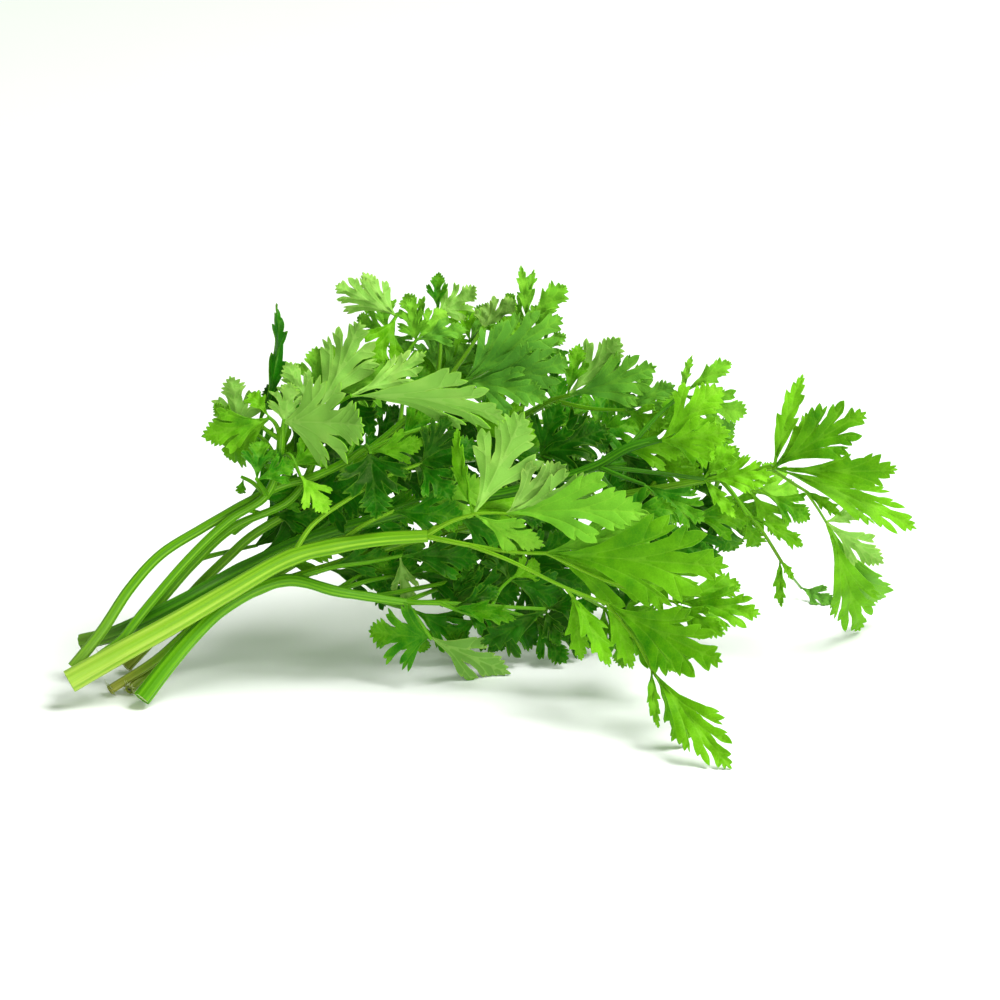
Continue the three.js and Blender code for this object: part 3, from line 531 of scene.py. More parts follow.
SLENDER_SPRIG = {
    "name": "slender_sprig", "finish": "green", "radii": (1.4, 1.05),
    "stalk": (
        (108, 658, 4), (131, 633, 3), (158, 604, 3), (198, 559, 2), (234, 527, 1), (290, 500, 1),
        (312, 465, 0), (316, 430, -2),
    ),
    "twigs": (
        (((316, 430, -2), (315, 422, -4), (315, 414, -6)), (
            ((361, 321, -4), 0.34, 200, "light", "fingered"), ((286, 362, -4), 0.34, 170, "light"))),
        (((316, 430, -2), (322, 414, -12), (350, 397, -18)), (
            ((507, 419, -22), 0.25, 150, "light", "fingered"),
            ((427, 352, -15), 0.22, 205, "light", "fingered"))),
        (((316, 430, -2), (345, 385, 3), (375, 345, 7), (396, 316, 9)), (
            ((335, 285, 5), 0.3, 190, "light", "fingered"), ((362, 271, 9), 0.29, 170, "light"),
            ((368, 367, 2), 0.39, 10, "leaf"))),
        (((316, 430, -2), (326, 406, 1), (338, 390, 2)), (
            ((402, 374, 4), 0.5, 15, "light", "trefoil"), ((376, 432, -1), 0.42, -10, "dark"))),
        (((198, 559, 2), (226, 552, 12), (254, 546, 20)), (
            ((350, 508, 26), 0.36, 10, "dark"), ((300, 498, 24), 0.42, -15, "deep"))),
    ),
    "inner": (
        (((316, 430, -2), (330, 410, 10), (342, 396, 17)), (
            ((388, 356, 22), 0.46, 15, "dark", "trefoil"), ((332, 344, 20), 0.42, -10, "leaf"),
            ((388, 410, 22), 0.42, 5, "dark"))),
        (((234, 532, 1), (252, 520, 10), (268, 512, 16)), (
            ((322, 488, 20), 0.4, 15, "deep"), ((318, 528, 18), 0.4, -10, "dark"))),
        (((316, 430, -2), (318, 410, 4), (320, 396, 8)), (
            ((316, 346, 6), 0.42, 12, "light"), ((352, 362, 10), 0.42, -12, "dark"))),
        (((290, 500, 1), (300, 492, 8), (308, 486, 14)), (
            ((366, 452, 18), 0.42, 12, "dark"), ((374, 496, 18), 0.4, -12, "dark"))),
        (((396, 316, 9), (392, 324, 14), (388, 332, 18)), (
            ((356, 316, 20), 0.42, 12, "light"), ((414, 350, 20), 0.42, -12, "grey"),
            ((376, 292, 22), 0.42, 8, "light"))),
    ),
}
BROWN_SPRIG = {
    "name": "brown_sprig", "finish": "brown", "radii": (1.6, 1.1),
    "stalk": (
        (125, 668, 12), (160, 631, 10), (198, 586, 8), (230, 555, 7), (250, 537, 7), (300, 505, 9),
        (350, 465, 11), (400, 425, 13), (435, 395, 13),
    ),
    "twigs": (
        (((435, 395, 13), (450, 388, 8), (464, 382, 4)), (
            ((563, 317, 1), 0.25, 10, "grey", "fingered"), ((571, 362, -2), 0.26, -10, "grey", "fingered"),
            ((548, 399, -4), 0.26, 15, "grey"), ((508, 320, 6), 0.31, -20, "grey"))),
        (((435, 395, 13), (440, 350, 16), (438, 313, 18)), (
            ((438, 270, 20), 0.3, 15, "deep"), ((477, 286, 16), 0.45, 190, "light", "trefoil"))),
        (((435, 395, 13), (465, 355, 15), (482, 328, 17)), (
            ((488, 302, 18), 0.42, 180, "leaf"), ((516, 299, 15), 0.39, 170, "leaf"),
            ((526, 330, 14), 0.34, 20, "leaf"))),
        (((350, 465, 11), (374, 452, 9), (396, 446, 7)), (
            ((452, 474, 6), 0.5, 10, "dark", "trefoil"), ((438, 398, 8), 0.42, -15, "deep"))),
        (((400, 425, 13), (424, 432, 26), (450, 440, 38)), (
            ((500, 420, 44), 0.53, 15, "dark", "trefoil"), ((450, 396, 44), 0.42, -10, "dark"),
            ((470, 490, 42), 0.42, 10, "dark"))),
        (((350, 465, 11), (404, 420, 26), (436, 390, 32)), (
            ((462, 330, 34), 0.5, 10, "leaf", "trefoil"), ((498, 366, 34), 0.42, -10, "grey"))),
    ),
    "inner": (
        (((464, 382, 4), (484, 372, 14), (496, 362, 21)), (
            ((545, 338, 26), 0.45, 15, "deep", "trefoil"), ((510, 314, 28), 0.42, -10, "grey"),
            ((548, 384, 24), 0.42, 5, "deep"))),
        (((350, 465, 11), (360, 452, 22), (374, 444, 30)), (
            ((430, 460, 36), 0.46, 15, "dark", "trefoil"), ((398, 404, 34), 0.42, -10, "dark"))),
        (((435, 395, 13), (436, 384, 22), (438, 376, 28)), (
            ((434, 326, 32), 0.42, 10, "grey"), ((474, 344, 32), 0.42, -10, "grey"))),
        (((400, 425, 13), (402, 404, 20), (404, 390, 26)), (
            ((398, 336, 30), 0.42, 10, "leaf"), ((428, 364, 30), 0.42, -10, "deep"))),
        (((438, 313, 18), (430, 322, 22), (424, 330, 26)), (
            ((404, 292, 28), 0.42, 10, "light"), ((446, 352, 28), 0.42, -10, "grey"))),
        (((482, 328, 17), (476, 334, 22), (470, 340, 26)), (
            ((460, 300, 26), 0.42, 10, "fresh"), ((486, 356, 28), 0.42, -10, "deep"),
            ((486, 302, 28), 0.42, -15, "grey"))),
    ),
}
DARK_SPRIG = {
    "name": "dark_sprig", "finish": "dark", "radii": (2.4, 1.2),
    "stalk": (
        (81, 642, 6), (110, 635, 2), (136, 624, -3), (179, 603, -5), (240, 570, 1), (300, 542, 3),
        (370, 521, 3), (446, 503, 3), (520, 490, 2), (596, 466, 0), (628, 448, -2), (655, 440, -3),
    ),
    "twigs": (
        (((628, 448, -2), (655, 441, -4), (660, 441, -5)), (
            ((722, 387, -9), 0.36, 10, "fresh"), ((730, 431, -12), 0.32, -15, "fresh"),
            ((716, 458, -10), 0.3, 20, "leaf", "wedge"))),
        (((628, 448, -2), (658, 415, 1), (682, 394, 2)), (
            ((692, 355, 2), 0.13, 20, "light", "strap"), ((731, 362, 0), 0.19, 10, "light", "wedge"),
            ((748, 414, 8), 0.31, -15, "light"))),
        (((596, 466, 0), (650, 472, 0), (704, 479, 0)), (
            ((733, 446, -3), 0.33, 15, "fresh", "wedge"), ((772, 475, -6), 0.3, 10, "fresh", "fingered"),
            ((735, 518, -4), 0.17, 0, "fresh", "strap"))),
        (((596, 466, 0), (620, 476, -3), (642, 484, -5)), (((704, 522, -8), 0.32, 15, "deep", "fingered"),)),
        (((446, 503, 3), (500, 474, 6), (540, 455, 8)), (
            ((610, 428, 6), 0.47, 15, "dark", "trefoil"), ((596, 492, 4), 0.39, -15, "dark"),
            ((560, 402, 9), 0.39, 10, "dark"))),
        (((370, 521, 3), (396, 508, 0), (418, 500, -2)), (((488, 486, -5), 0.4, 15, "light"),)),
        (((520, 490, 2), (560, 506, -3), (600, 520, -8)), (
            ((676, 508, -14), 0.31, 20, "deep"), ((664, 556, -14), 0.34, -10, "dark"))),
        (((300, 542, 3), (324, 526, 6), (342, 512, 9)), (
            ((424, 508, 12), 0.42, 10, "deep"), ((350, 458, 18), 0.42, -10, "deep"))),
        (((596, 466, 0), (622, 464, 12), (646, 460, 18)), (
            ((716, 446, 22), 0.36, 10, "leaf"), ((708, 482, 20), 0.3, -10, "leaf"))),
    ),
    "inner": (
        (((600, 520, -8), (628, 540, -12), (648, 554, -15)), (
            ((708, 548, -18), 0.42, 15, "dark"), ((694, 600, -22), 0.42, -10, "leaf"))),
        (((596, 466, 0), (608, 484, 8), (620, 494, 13)), (
            ((676, 500, 18), 0.46, 15, "dark", "trefoil"), ((640, 548, 16), 0.42, -10, "dark"),
            ((652, 464, 18), 0.4, 5, "dark"))),
        (((660, 441, -5), (680, 440, 2), (692, 442, 6)), (
            ((742, 464, 10), 0.42, 15, "leaf"), ((736, 424, 10), 0.42, -10, "grey"))),
        (((628, 448, -2), (640, 436, 6), (650, 428, 10)), (
            ((704, 418, 12), 0.42, 15, "leaf"), ((670, 384, 14), 0.4, -10, "leaf"))),
        (((596, 466, 0), (608, 456, 8), (618, 450, 14)), (
            ((688, 448, 18), 0.4, 15, "leaf"), ((668, 492, 18), 0.4, -10, "dark"))),
        (((240, 570, 1), (250, 562, 8), (258, 556, 14)), (
            ((330, 516, 18), 0.32, 10, "dark"), ((340, 548, 16), 0.28, -10, "leaf"))),
        (((300, 542, 3), (322, 546, 10), (340, 546, 16)), (
            ((412, 528, 18), 0.32, 10, "dark"), ((400, 566, 16), 0.28, -10, "dark"))),
    ),
}
BACK_SPRIG = {
    "name": "back_sprig", "finish": "brown", "radii": (1.3, 1.0),
    "stalk": (
        (129, 690, -4.4), (168, 655, 5), (220, 610, 10), (300, 560, 14), (380, 510, 17), (450, 462, 20),
        (520, 418, 22), (552, 400, 18),
    ),
    "twigs": (
        (((520, 418, 22), (530, 365, 22), (528, 322, 22)), (
            ((521, 264, 22), 0.13, 0, "light", "strap"), ((534, 267, 21), 0.12, 30, "light", "strap"),
            ((566, 284, 20), 0.28, 15, "light", "wedge"), ((505, 292, 24), 0.31, -10, "light"))),
        (((530, 365, 22), (536, 352, 17)), (((566, 334, 13), 0.5, 10, "grey", "trefoil"),)),
        (((520, 418, 22), (552, 400, 16), (568, 395, 13)), (
            ((621, 337, 10), 0.35, 190, "light"), ((580, 343, 15), 0.31, 10, "leaf"),
            ((657, 366, 6), 0.3, -10, "grey", "fingered"))),
        (((552, 400, 18), (590, 408, 15), (624, 410, 12)), (
            ((676, 385, 8), 0.34, 15, "grey"), ((668, 424, 8), 0.34, -15, "leaf"))),
        (((450, 462, 20), (480, 458, 36), (505, 452, 48)), (
            ((565, 440, 54), 0.53, 15, "deep", "trefoil"), ((515, 404, 56), 0.42, -15, "dark"),
            ((540, 500, 52), 0.42, 10, "dark"))),
        (((520, 418, 22), (560, 424, 34), (596, 430, 42)), (
            ((650, 424, 44), 0.53, 15, "deep", "trefoil"), ((602, 384, 46), 0.42, -15, "deep"),
            ((640, 474, 44), 0.42, 10, "deep"))),
    ),
    "inner": (
        (((530, 365, 22), (534, 346, 26), (536, 336, 28)), (
            ((552, 296, 26), 0.42, 10, "light"), ((512, 312, 28), 0.42, -10, "grey"))),
        (((520, 418, 22), (542, 428, 30), (560, 432, 36)), (
            ((616, 446, 40), 0.46, 15, "dark", "trefoil"), ((588, 396, 40), 0.42, -10, "deep"),
            ((586, 484, 38), 0.42, 5, "dark"), ((556, 372, 40), 0.42, -5, "deep"))),
        (((552, 400, 18), (584, 390, 24), (604, 382, 28)), (
            ((652, 372, 30), 0.46, 15, "deep", "trefoil"), ((634, 416, 30), 0.42, -10, "deep"))),
        (((528, 322, 22), (534, 334, 28), (538, 344, 32)), (
            ((566, 372, 32), 0.42, 10, "deep"), ((544, 394, 32), 0.42, -10, "dark"))),
    ),
}
RIGHT_SPRIG = {
    "name": "right_sprig", "finish": "brown", "radii": (1.4, 1.0),
    "stalk": (
        (110, 690, -4.7), (156, 660, -1), (200, 622, 4), (260, 590, 8), (350, 560, 12), (450, 530, 14),
        (560, 505, 14), (650, 490, 11), (720, 477, 8), (770, 468, 5),
    ),
    "twigs": (
        (((720, 477, 8), (770, 468, 5), (774, 468, 4)), (
            ((803, 374, 2), 0.13, 15, "fresh", "strap"), ((820, 412, 0), 0.17, 0, "leaf", "wedge"),
            ((866, 412, -3), 0.27, 10, "leaf", "fingered"), ((897, 470, -7), 0.15, -15, "leaf", "wedge"),
            ((918, 529, 2), 0.15, 20, "leaf", "fingered"))),
        (((770, 468, 5), (790, 481, 5), (806, 491, 5)), (((842, 516, 3), 0.17, 15, "leaf", "strap"),)),
        (((806, 491, 5), (818, 508, 8), (827, 522, 12)), (
            ((885, 564, 12), 0.27, 190, "light"), ((865, 512, 9), 0.22, 170, "light", "strap"),
            ((864, 633, TABLE), 0.17, 10, "fresh", "fingered"),
            ((882, 604, 36), 0.15, -10, "light", "wedge"))),
        (((720, 477, 8), (738, 500, 7), (746, 514, 7)), (
            ((804, 546, 4), 0.14, 20, "leaf", "wedge"), ((758, 548, 12), 0.3, -10, "leaf", "wedge"))),
        (((738, 500, 7), (762, 530, 8), (781, 560, 9)), (
            ((794, 580, 10), 0.2, 20, "fresh", "strap"), ((782, 608, 12), 0.14, -20, "leaf", "strap"))),
        (((781, 560, 9), (794, 576, 40), (806, 589, 68)), (((840, 606, TABLE), 0.34, 0, "dull"),)),
        (((720, 477, 8), (750, 486, 16), (768, 494, 20)), (((812, 520, 20), 0.4, 10, "leaf"),)),
        (((450, 530, 14), (480, 532, 32), (520, 530, 44)), (
            ((588, 536, 48), 0.53, 15, "dark", "trefoil"), ((540, 484, 50), 0.42, -15, "dark"),
            ((556, 584, 44), 0.42, 10, "dark"))),
        (((560, 505, 14), (600, 512, 32), (638, 518, 42)), (
            ((704, 514, 44), 0.53, 15, "deep", "trefoil"), ((660, 470, 46), 0.42, -15, "dark"),
            ((676, 566, 42), 0.42, 10, "dark"))),
        (((650, 490, 11), (672, 506, 16), (688, 516, 18)), (
            ((752, 520, 20), 0.36, 10, "leaf"), ((716, 568, 20), 0.4, -10, "deep"))),
        (((350, 560, 12), (386, 558, 22), (416, 552, 28)), (
            ((508, 548, 34), 0.36, 10, "dark"), ((478, 604, 30), 0.36, -10, "dark"))),
    ),
    "inner": (
        (((720, 477, 8), (738, 486, 14), (752, 492, 19)), (
            ((802, 492, 24), 0.4, 15, "light"), ((786, 534, 22), 0.36, -10, "fresh"),
            ((776, 462, 20), 0.38, 5, "leaf"))),
        (((720, 477, 8), (716, 490, 14), (714, 500, 19)), (
            ((766, 518, 24), 0.42, 10, "leaf"), ((736, 552, 26), 0.4, -10, "deep"),
            ((688, 462, 22), 0.4, 5, "dark"))),
        (((450, 530, 14), (470, 522, 22), (486, 514, 28)), (
            ((548, 520, 32), 0.46, 15, "dark", "trefoil"), ((514, 470, 32), 0.42, -10, "dark"),
            ((524, 566, 28), 0.42, 5, "deep"))),
        (((260, 590, 8), (288, 566, 22), (306, 552, 30)), (
            ((372, 532, 36), 0.42, 15, "deep"), ((340, 500, 36), 0.42, -10, "dark"))),
        (((650, 490, 11), (662, 474, 18), (672, 466, 22)), (
            ((728, 470, 26), 0.42, 15, "leaf"), ((698, 424, 26), 0.42, -10, "deep"))),
        (((650, 490, 11), (668, 500, 20), (682, 506, 26)), (
            ((740, 512, 30), 0.42, 15, "dark"), ((712, 552, 30), 0.42, -10, "dark"))),
        (((560, 505, 14), (584, 500, 24), (602, 494, 30)), (
            ((664, 484, 34), 0.46, 15, "dark", "trefoil"), ((626, 452, 34), 0.42, -10, "dark"))),
    ),
}
SPRIGS = (
    MAIN_SPRIG, LOW_SPRIG, ARCHING_SPRIG, LEFT_SPRIG, SLENDER_SPRIG, BROWN_SPRIG, DARK_SPRIG, BACK_SPRIG,
    RIGHT_SPRIG,
)


def behind(place):
    """How far behind the board a place lies; on the table, half a solid leaflet above it."""
    if place[2] != TABLE:
        return place[2]
    up = (TABLE_DOWN - place[1]) * STEP
    return (up * math.cos(LEAN) - SOLID_THICKNESS / 2) / math.sin(LEAN)


def spot(place, push=0.0):
    """A place of the board as a point of the bunch, in millimetres."""
    up = (TABLE_DOWN - place[1]) * STEP
    back = behind(place) + push
    y = up * math.sin(LEAN) + back * math.cos(LEAN) - SET_BACK
    return np.array(((place[0] - CENTRE_ACROSS) * STEP, y, up * math.cos(LEAN) - back * math.sin(LEAN)))


def draw(seed, index):
    """A draw between -0.5 and 0.5 that is the same every time."""
    by_seed, by_index, spread = DRAW_NUMBERS
    value = math.sin(seed * by_seed + index * by_index) * spread
    return value - math.floor(value) - 0.5


def unit(v):
    """The vector with a length of one."""
    return v / np.linalg.norm(v)


def steps_in(length, step, fewest):
    """How many steps of about this size make up a length."""
    return max(fewest, round(float(length) / step))


class Leaflet:
    """Where one leaflet lies, and how its flat outline is folded and arched into place."""

    def __init__(self, root, row, seed, bend=(0, 0)):
        tip, self.breadth, roll, self.look, *cut = row
        self.cut = cut[0] if cut else COMMON_CUT
        self.seed = seed
        self.base = spot(root)
        self.tip = spot(tip, bend[0])
        self.length = float(np.linalg.norm(self.tip - self.base))
        self.along = unit(self.tip - self.base)
        flat = unit(FACING - self.along * FACING.dot(self.along))
        angle = math.radians(roll + bend[1])
        self.normal = flat * math.cos(angle) + np.cross(flat, self.along) * math.sin(angle)
        self.across = np.cross(self.normal, self.along)

    def lay(self, x, y, lift, softness=FOLD_SOFTNESS, lowest=SOLID_THICKNESS / 2):
        """Folds and arches points of the flat leaflet, x along it and y across, in millimetres."""
        s = x / self.length
        t = y / self.length
        rise = ARCH * 4 * s * (1 - s) + FOLD * (np.sqrt(t**2 + softness**2) - softness)
        up = rise * self.length + lift
        places = self.base + np.outer(x, self.along) + np.outer(y, self.across) + np.outer(up, self.normal)
        places[:, 2] = np.maximum(places[:, 2], lowest)
        return places

    def anchors(self):
        """The solid leaflet's teeth and notches that tell one bend from another."""
        xs = []
        ys = []
        for side in (-1, 1):
            for s, t in half_anchors(self.cut, self.seed, side):
                xs.append(s * self.length)
                ys.append(t * self.breadth * side * self.length)
        xs.append(self.length)
        ys.append(0.0)
        flat = self.lay(np.array(xs), np.array(ys), 0.0, softness=0.0)
        aside = self.normal * SOLID_THICKNESS / 2
        return np.vstack((flat + aside, flat - aside))


def half_anchors(cut, seed, side):
    """The solid leaflet's edge points of one half, each moved a little as the solids' are."""
    first = RIGHT_DRAW if side > 0 else 0
    points = [p for _, rows in LOBES[cut] for p in rows if p[0].isupper()]
    moved = []
    for i, (_, s, t) in enumerate(points):
        s += WOBBLE[0] * draw(seed, first + i)
        moved.append((s, t * (1 + WOBBLE[1] * draw(seed, first + i + ACROSS_DRAW))))
    return moved


def tree_of(points):
    """The points, in a form that finds the one nearest to a place."""
    tree = KDTree(len(points))
    for i, point in enumerate(points):
        tree.insert(Vector(point), i)
    tree.balance()
    return tree


def chosen_bend(root, row, seed, corners):
    """The bend that puts a leaflet where its solid lies, found by the solid's own corners."""
    best = None
    for bend in BENDS:
        places = Leaflet(root, row, seed, bend).anchors()
        found = sum(corners.find(Vector(p * MM))[2] < MATCH * MM for p in places)
        if best is None or found > best[0]:
            best = (found, bend)
        if found > MATCH_ENOUGH:
            break
    return best[1]


def spread_points(leaflet):
    """Points all over a leaflet in place, away from its root, to tell how near others come."""
    flat = grid_inside(ring_of(leaflet)[0], NEAR_STEP)
    flat = flat[flat[:, 0] > NEAR_ROOT * leaflet.length]
    return leaflet.lay(flat[:, 0], flat[:, 1], 0.0)


def clearest(root, row, seed, crowd):
    """The leaflet in the bend that keeps it furthest from the points of the others."""
    best = None
    for bend in BENDS:
        leaflet = Leaflet(root, row, seed, bend)
        if leaflet.tip[2] < NEAR_ENOUGH:
            continue
        gap = min(crowd.find(Vector(p))[2] for p in spread_points(leaflet))
        if best is None or gap > best[0]:
            best = (gap, leaflet)
        if gap > NEAR_ENOUGH:
            break
    return best[1]


def on_curve(start, control, end, share):
    """A point of the curve from start to end that the control point draws aside."""
    return start * (1 - share) ** 2 + control * 2 * share * (1 - share) + end * share**2


def bow(start, end, bulge, step):
    """Points of a curve from start towards end that bows to the left, without its end."""
    chord = end - start
    count = steps_in(np.linalg.norm(chord), step, 2)
    control = (start + end) / 2 + np.array((-chord[1], chord[0])) * bulge * 2
    return [on_curve(start, control, end, i / count) for i in range(count)]


def placed_rows(leaflet, side):
    """The edge points of one half lobe by lobe, each as (kind, flat place), moved as its solid's are."""
    moved = half_anchors(leaflet.cut, leaflet.seed, side)
    named = [(0.0, 0.0, 0.0)]  # (place in the row of points, shift along, growth across)
    rows = [p for _, points in LOBES[leaflet.cut] for p in points]
    for i, (kind, s, t) in enumerate(rows):
        if kind.isupper():
            new_s, new_t = moved[len(named) - 1]
            named.append((i + 1.0, new_s - s, new_t / t - 1))
    named.append((len(rows) + 1.0, 0.0, 0.0))
    keys, shifts, growths = np.array(named).T

    size = np.array((leaflet.length, leaflet.breadth * leaflet.length))
    lobes = []
    index = 0
    for _, group in LOBES[leaflet.cut]:
        lobe = []
        for kind, s, t in group:
            index += 1
            shift = float(np.interp(index, keys, shifts))
            growth = float(np.interp(index, keys, growths))
            if kind in "tn":
                fine = index + FINE_SIDE_DRAW * side
                shift += FINE_WOBBLE[0] * draw(leaflet.seed, fine + FINE_ALONG_DRAW)
                growth += FINE_WOBBLE[1] * draw(leaflet.seed, fine + FINE_ACROSS_DRAW)
            lobe.append((kind, np.array((s + shift, t * (1 + growth))) * size))
        lobes.append(lobe)
    return lobes


def half_edge(points, tip):
    """The edge of one half as evenly spaced points, from its (kind, place) points up to the tip."""
    edge = []
    for (kind, here), (next_kind, after) in zip(points, points[1:] + [("t", tip)]):
        smooth = kind in "sS" and next_kind in "sSN"
        edge += bow(here, after, 0.0 if smooth else TOOTH_BULGE, EDGE_STEP)
    return edge


def lobe_veins(root, teeth, tip):
    """The veins of one lobe as (rank, points); the last lobe, which ends in the tip, shares the midrib."""
    main = max(teeth, key=lambda p: float(np.linalg.norm(p - root))) if tip is None else tip
    course = unit(main - root)
    reach = float(np.linalg.norm(main - root))
    sideways = np.array((-course[1], course[0]))
    control = (root + main) / 2 + sideways * (-VEIN_BOW if tip is None else 0.0) * 2 * reach
    veins = []
    if tip is None:
        count = steps_in(reach, GRID_STEP, 3)
        line = [on_curve(root, control, main, VEIN_END * i / count) for i in range(count + 1)]
        veins.append((1, line))
    for tooth in teeth:
        if tooth is main:
            continue
        off = tooth - root
        forward = float(off.dot(course))
        aside = abs(float(off[0] * course[1] - off[1] * course[0]))
        share = min(VEIN_START[1], max(VEIN_START[0], (forward - VEIN_SPREAD * aside) / reach))
        begin = on_curve(root, control, main, share)
        line = tooth - begin
        count = steps_in(np.linalg.norm(line), GRID_STEP, 2)
        veins.append((2, [begin + line * VEIN_END * i / count for i in range(count + 1)]))
    return veins


def half_shape(leaflet, side):
    """The edge of one half as points, and its veins as (rank, points), all in flat millimetres."""
    lobes = placed_rows(leaflet, side)
    tip = np.array((leaflet.length, 0.0))
    edge = half_edge([("s", np.array((0.0, ROOT_WIDTH)))] + [p for lobe in lobes for p in lobe], tip)
    veins = []
    for lobe, (start, _) in zip(lobes, LOBES[leaflet.cut]):
        root = np.array((start * leaflet.length, 0.0))
        teeth = [place for kind, place in lobe if kind in "tT"]
        veins += lobe_veins(root, teeth, tip if lobe is lobes[-1] else None)
    flip = np.array((1.0, float(side)))
    return [p * flip for p in edge], [(rank, [p * flip for p in line]) for rank, line in veins]


def distances(points, starts, ends):
    """The distance from each point to each segment, as a table."""
    line = ends - starts
    square = np.maximum((line**2).sum(axis=1), TINY)
    away = points[:, None, :] - starts[None, :, :]
    share = np.clip((away * line[None]).sum(axis=2) / square, 0, 1)
    gap = away - share[:, :, None] * line[None]
    return np.sqrt((gap**2).sum(axis=2))


def within(points, ring):
    """Whether each point lies inside a closed ring."""
    x, y = points[:, 0:1], points[:, 1:2]
    x0, y0 = ring[:, 0][None], ring[:, 1][None]
    x1, y1 = np.roll(ring[:, 0], -1)[None], np.roll(ring[:, 1], -1)[None]
    crosses = (y0 > y) != (y1 > y)
    slope = np.where(y1 == y0, TINY, y1 - y0)
    ahead = x < (x1 - x0) * (y - y0) / slope + x0
    return (crosses & ahead).sum(axis=1) % 2 == 1


def grid_inside(ring, step):
    """Evenly spread points inside a ring."""
    low, high = ring.min(axis=0), ring.max(axis=0)
    row = step * math.sqrt(3) / 2
    points = []
    for j in range(int((high[1] - low[1]) / row) + 1):
        for i in range(int((high[0] - low[0]) / step) + 1):
            points.append((low[0] + (i + 0.5 * (j % 2)) * step, low[1] + j * row))
    points = np.array(points)
    return points[within(points, ring)]


def ring_of(leaflet):
    """The closed edge of a flat leaflet, up its right half and down its left, and its veins."""
    right, right_veins = half_shape(leaflet, 1)
    left, left_veins = half_shape(leaflet, -1)
    count = steps_in(leaflet.length, GRID_STEP, 4)
    shares = [MIDRIB_START + MIDRIB_SHARE * i / count for i in range(count + 1)]
    midrib = [np.array((leaflet.length * share, 0.0)) for share in shares]
    ring = np.array(right + [np.array((leaflet.length, 0.0))] + left[::-1])
    return ring, [(0, midrib)] + right_veins + left_veins


def triangulated(ring, veins, inner):
    """Points and triangles of the area inside a ring, with an edge along every vein."""
    verts = [Vector(p) for p in ring]
    edges = [(i, (i + 1) % len(ring)) for i in range(len(ring))]
    for _, line in veins:
        first = len(verts)
        verts += [Vector(p) for p in line]
        edges += [(first + i, first + i + 1) for i in range(len(line) - 1)]
    verts += [Vector(p) for p in inner]
    made, _, faces, *_ = delaunay_2d_cdt(verts, edges, [], 0, WELD, False)
    points = np.array([(p.x, p.y) for p in made])
    faces = np.array([f for f in faces if len(f) == 3])
    faces = faces[within(points[faces].mean(axis=1), ring)]
    used = np.unique(faces)
    renumber = np.full(len(points), -1)
    renumber[used] = np.arange(len(used))
    points = points[used]
    faces = renumber[faces]
    # Counterclockwise seen from the upper side.
    a, b, c = points[faces[:, 0]], points[faces[:, 1]], points[faces[:, 2]]
    area = (b[:, 0] - a[:, 0]) * (c[:, 1] - a[:, 1]) - (b[:, 1] - a[:, 1]) * (c[:, 0] - a[:, 0])
    faces[area < 0] = faces[area < 0][:, ::-1]
    return points, faces


def flat_leaflet(leaflet):
    """A leaflet's flat mesh: points, triangles, and each point's distances to the edge and the veins."""
    ring, veins = ring_of(leaflet)
    starts = np.array([p for _, line in veins for p in line[:-1]])
    ends = np.array([p for _, line in veins for p in line[1:]])
    ranks = np.array([rank for rank, line in veins for _ in line[1:]])
    ring_ends = np.roll(ring, -1, axis=0)
    inner = grid_inside(ring, GRID_STEP)
    lines = distances(inner, np.vstack((starts, ring)), np.vstack((ends, ring_ends)))
    inner = inner[lines.min(axis=1) > GRID_STEP * GRID_ROOM]
    points, faces = triangulated(ring, veins, inner)
    to_edge = distances(points, ring, ring_ends).min(axis=1)
    widths = np.array(VEIN_WIDTHS)[ranks]
    to_vein = (distances(points, starts, ends) / widths[None]).min(axis=1)
    return points, faces, to_edge, to_vein


def relief(leaflet, x, y, to_edge, to_vein):
    """How far each point of a leaflet stands above its smooth surface, in millimetres."""
    seed = leaflet.seed
    puff = PUFF * (1 - np.exp(-((to_vein / PUFF_WIDTH) ** 2)))
    phase = RUFFLE_PHASE * draw(seed, PHASE_DRAW)
    pitch = leaflet.length * (RUFFLE_PITCH[0] + RUFFLE_PITCH[1] * draw(seed, PITCH_DRAW))
    ruffle = np.sin(x / pitch * math.pi + phase + HALF_PHASE * np.sign(y)) * np.exp(-to_edge / RUFFLE_WIDTH)
    far = np.clip(np.abs(y) / (leaflet.breadth * leaflet.length), 0, CURL_FURTHEST)
    ahead = np.clip(x / leaflet.length, 0, 1)
    bent = far ** CURL_POWERS[0] + CURL_TIP * ahead ** CURL_POWERS[1]
    curl = -CURL * bent * (1 + CURL_SPREAD * draw(seed, CURL_DRAW))
    return (puff + RUFFLE * ruffle + curl) * np.clip(x / CALM_ROOT, 0, 1)


def leaflet_mesh(leaflet):
    """A leaflet in place: its points in metres, triangles, and attribute values by point."""
    points, faces, to_edge, to_vein = flat_leaflet(leaflet)
    x, y = points[:, 0], points[:, 1]
    lift = relief(leaflet, x, y, to_edge, to_vein)
    places = leaflet.lay(x, y, lift, lowest=LEAF_THICKNESS / 2 + FLOOR_GAP)
    inset = LEAF_THICKNESS / 2 + BOX_INSET
    places = np.clip(places, np.array(CAD_BOX[0]) / MM + inset, np.array(CAD_BOX[1]) / MM - inset)
    tone, grey, gloss = LOOKS[leaflet.look]
    values = {
        "vein": to_vein,
        "edge": to_edge,
        "run": x / leaflet.length,
        "tone": np.full(len(points), tone + TONE_SPREAD * draw(leaflet.seed, TONE_DRAW)),
        "grey": np.full(len(points), grey + GREY_SPREAD * draw(leaflet.seed, GREY_DRAW)),
        "gloss": np.full(len(points), gloss),
    }
    return places * MM, faces, values


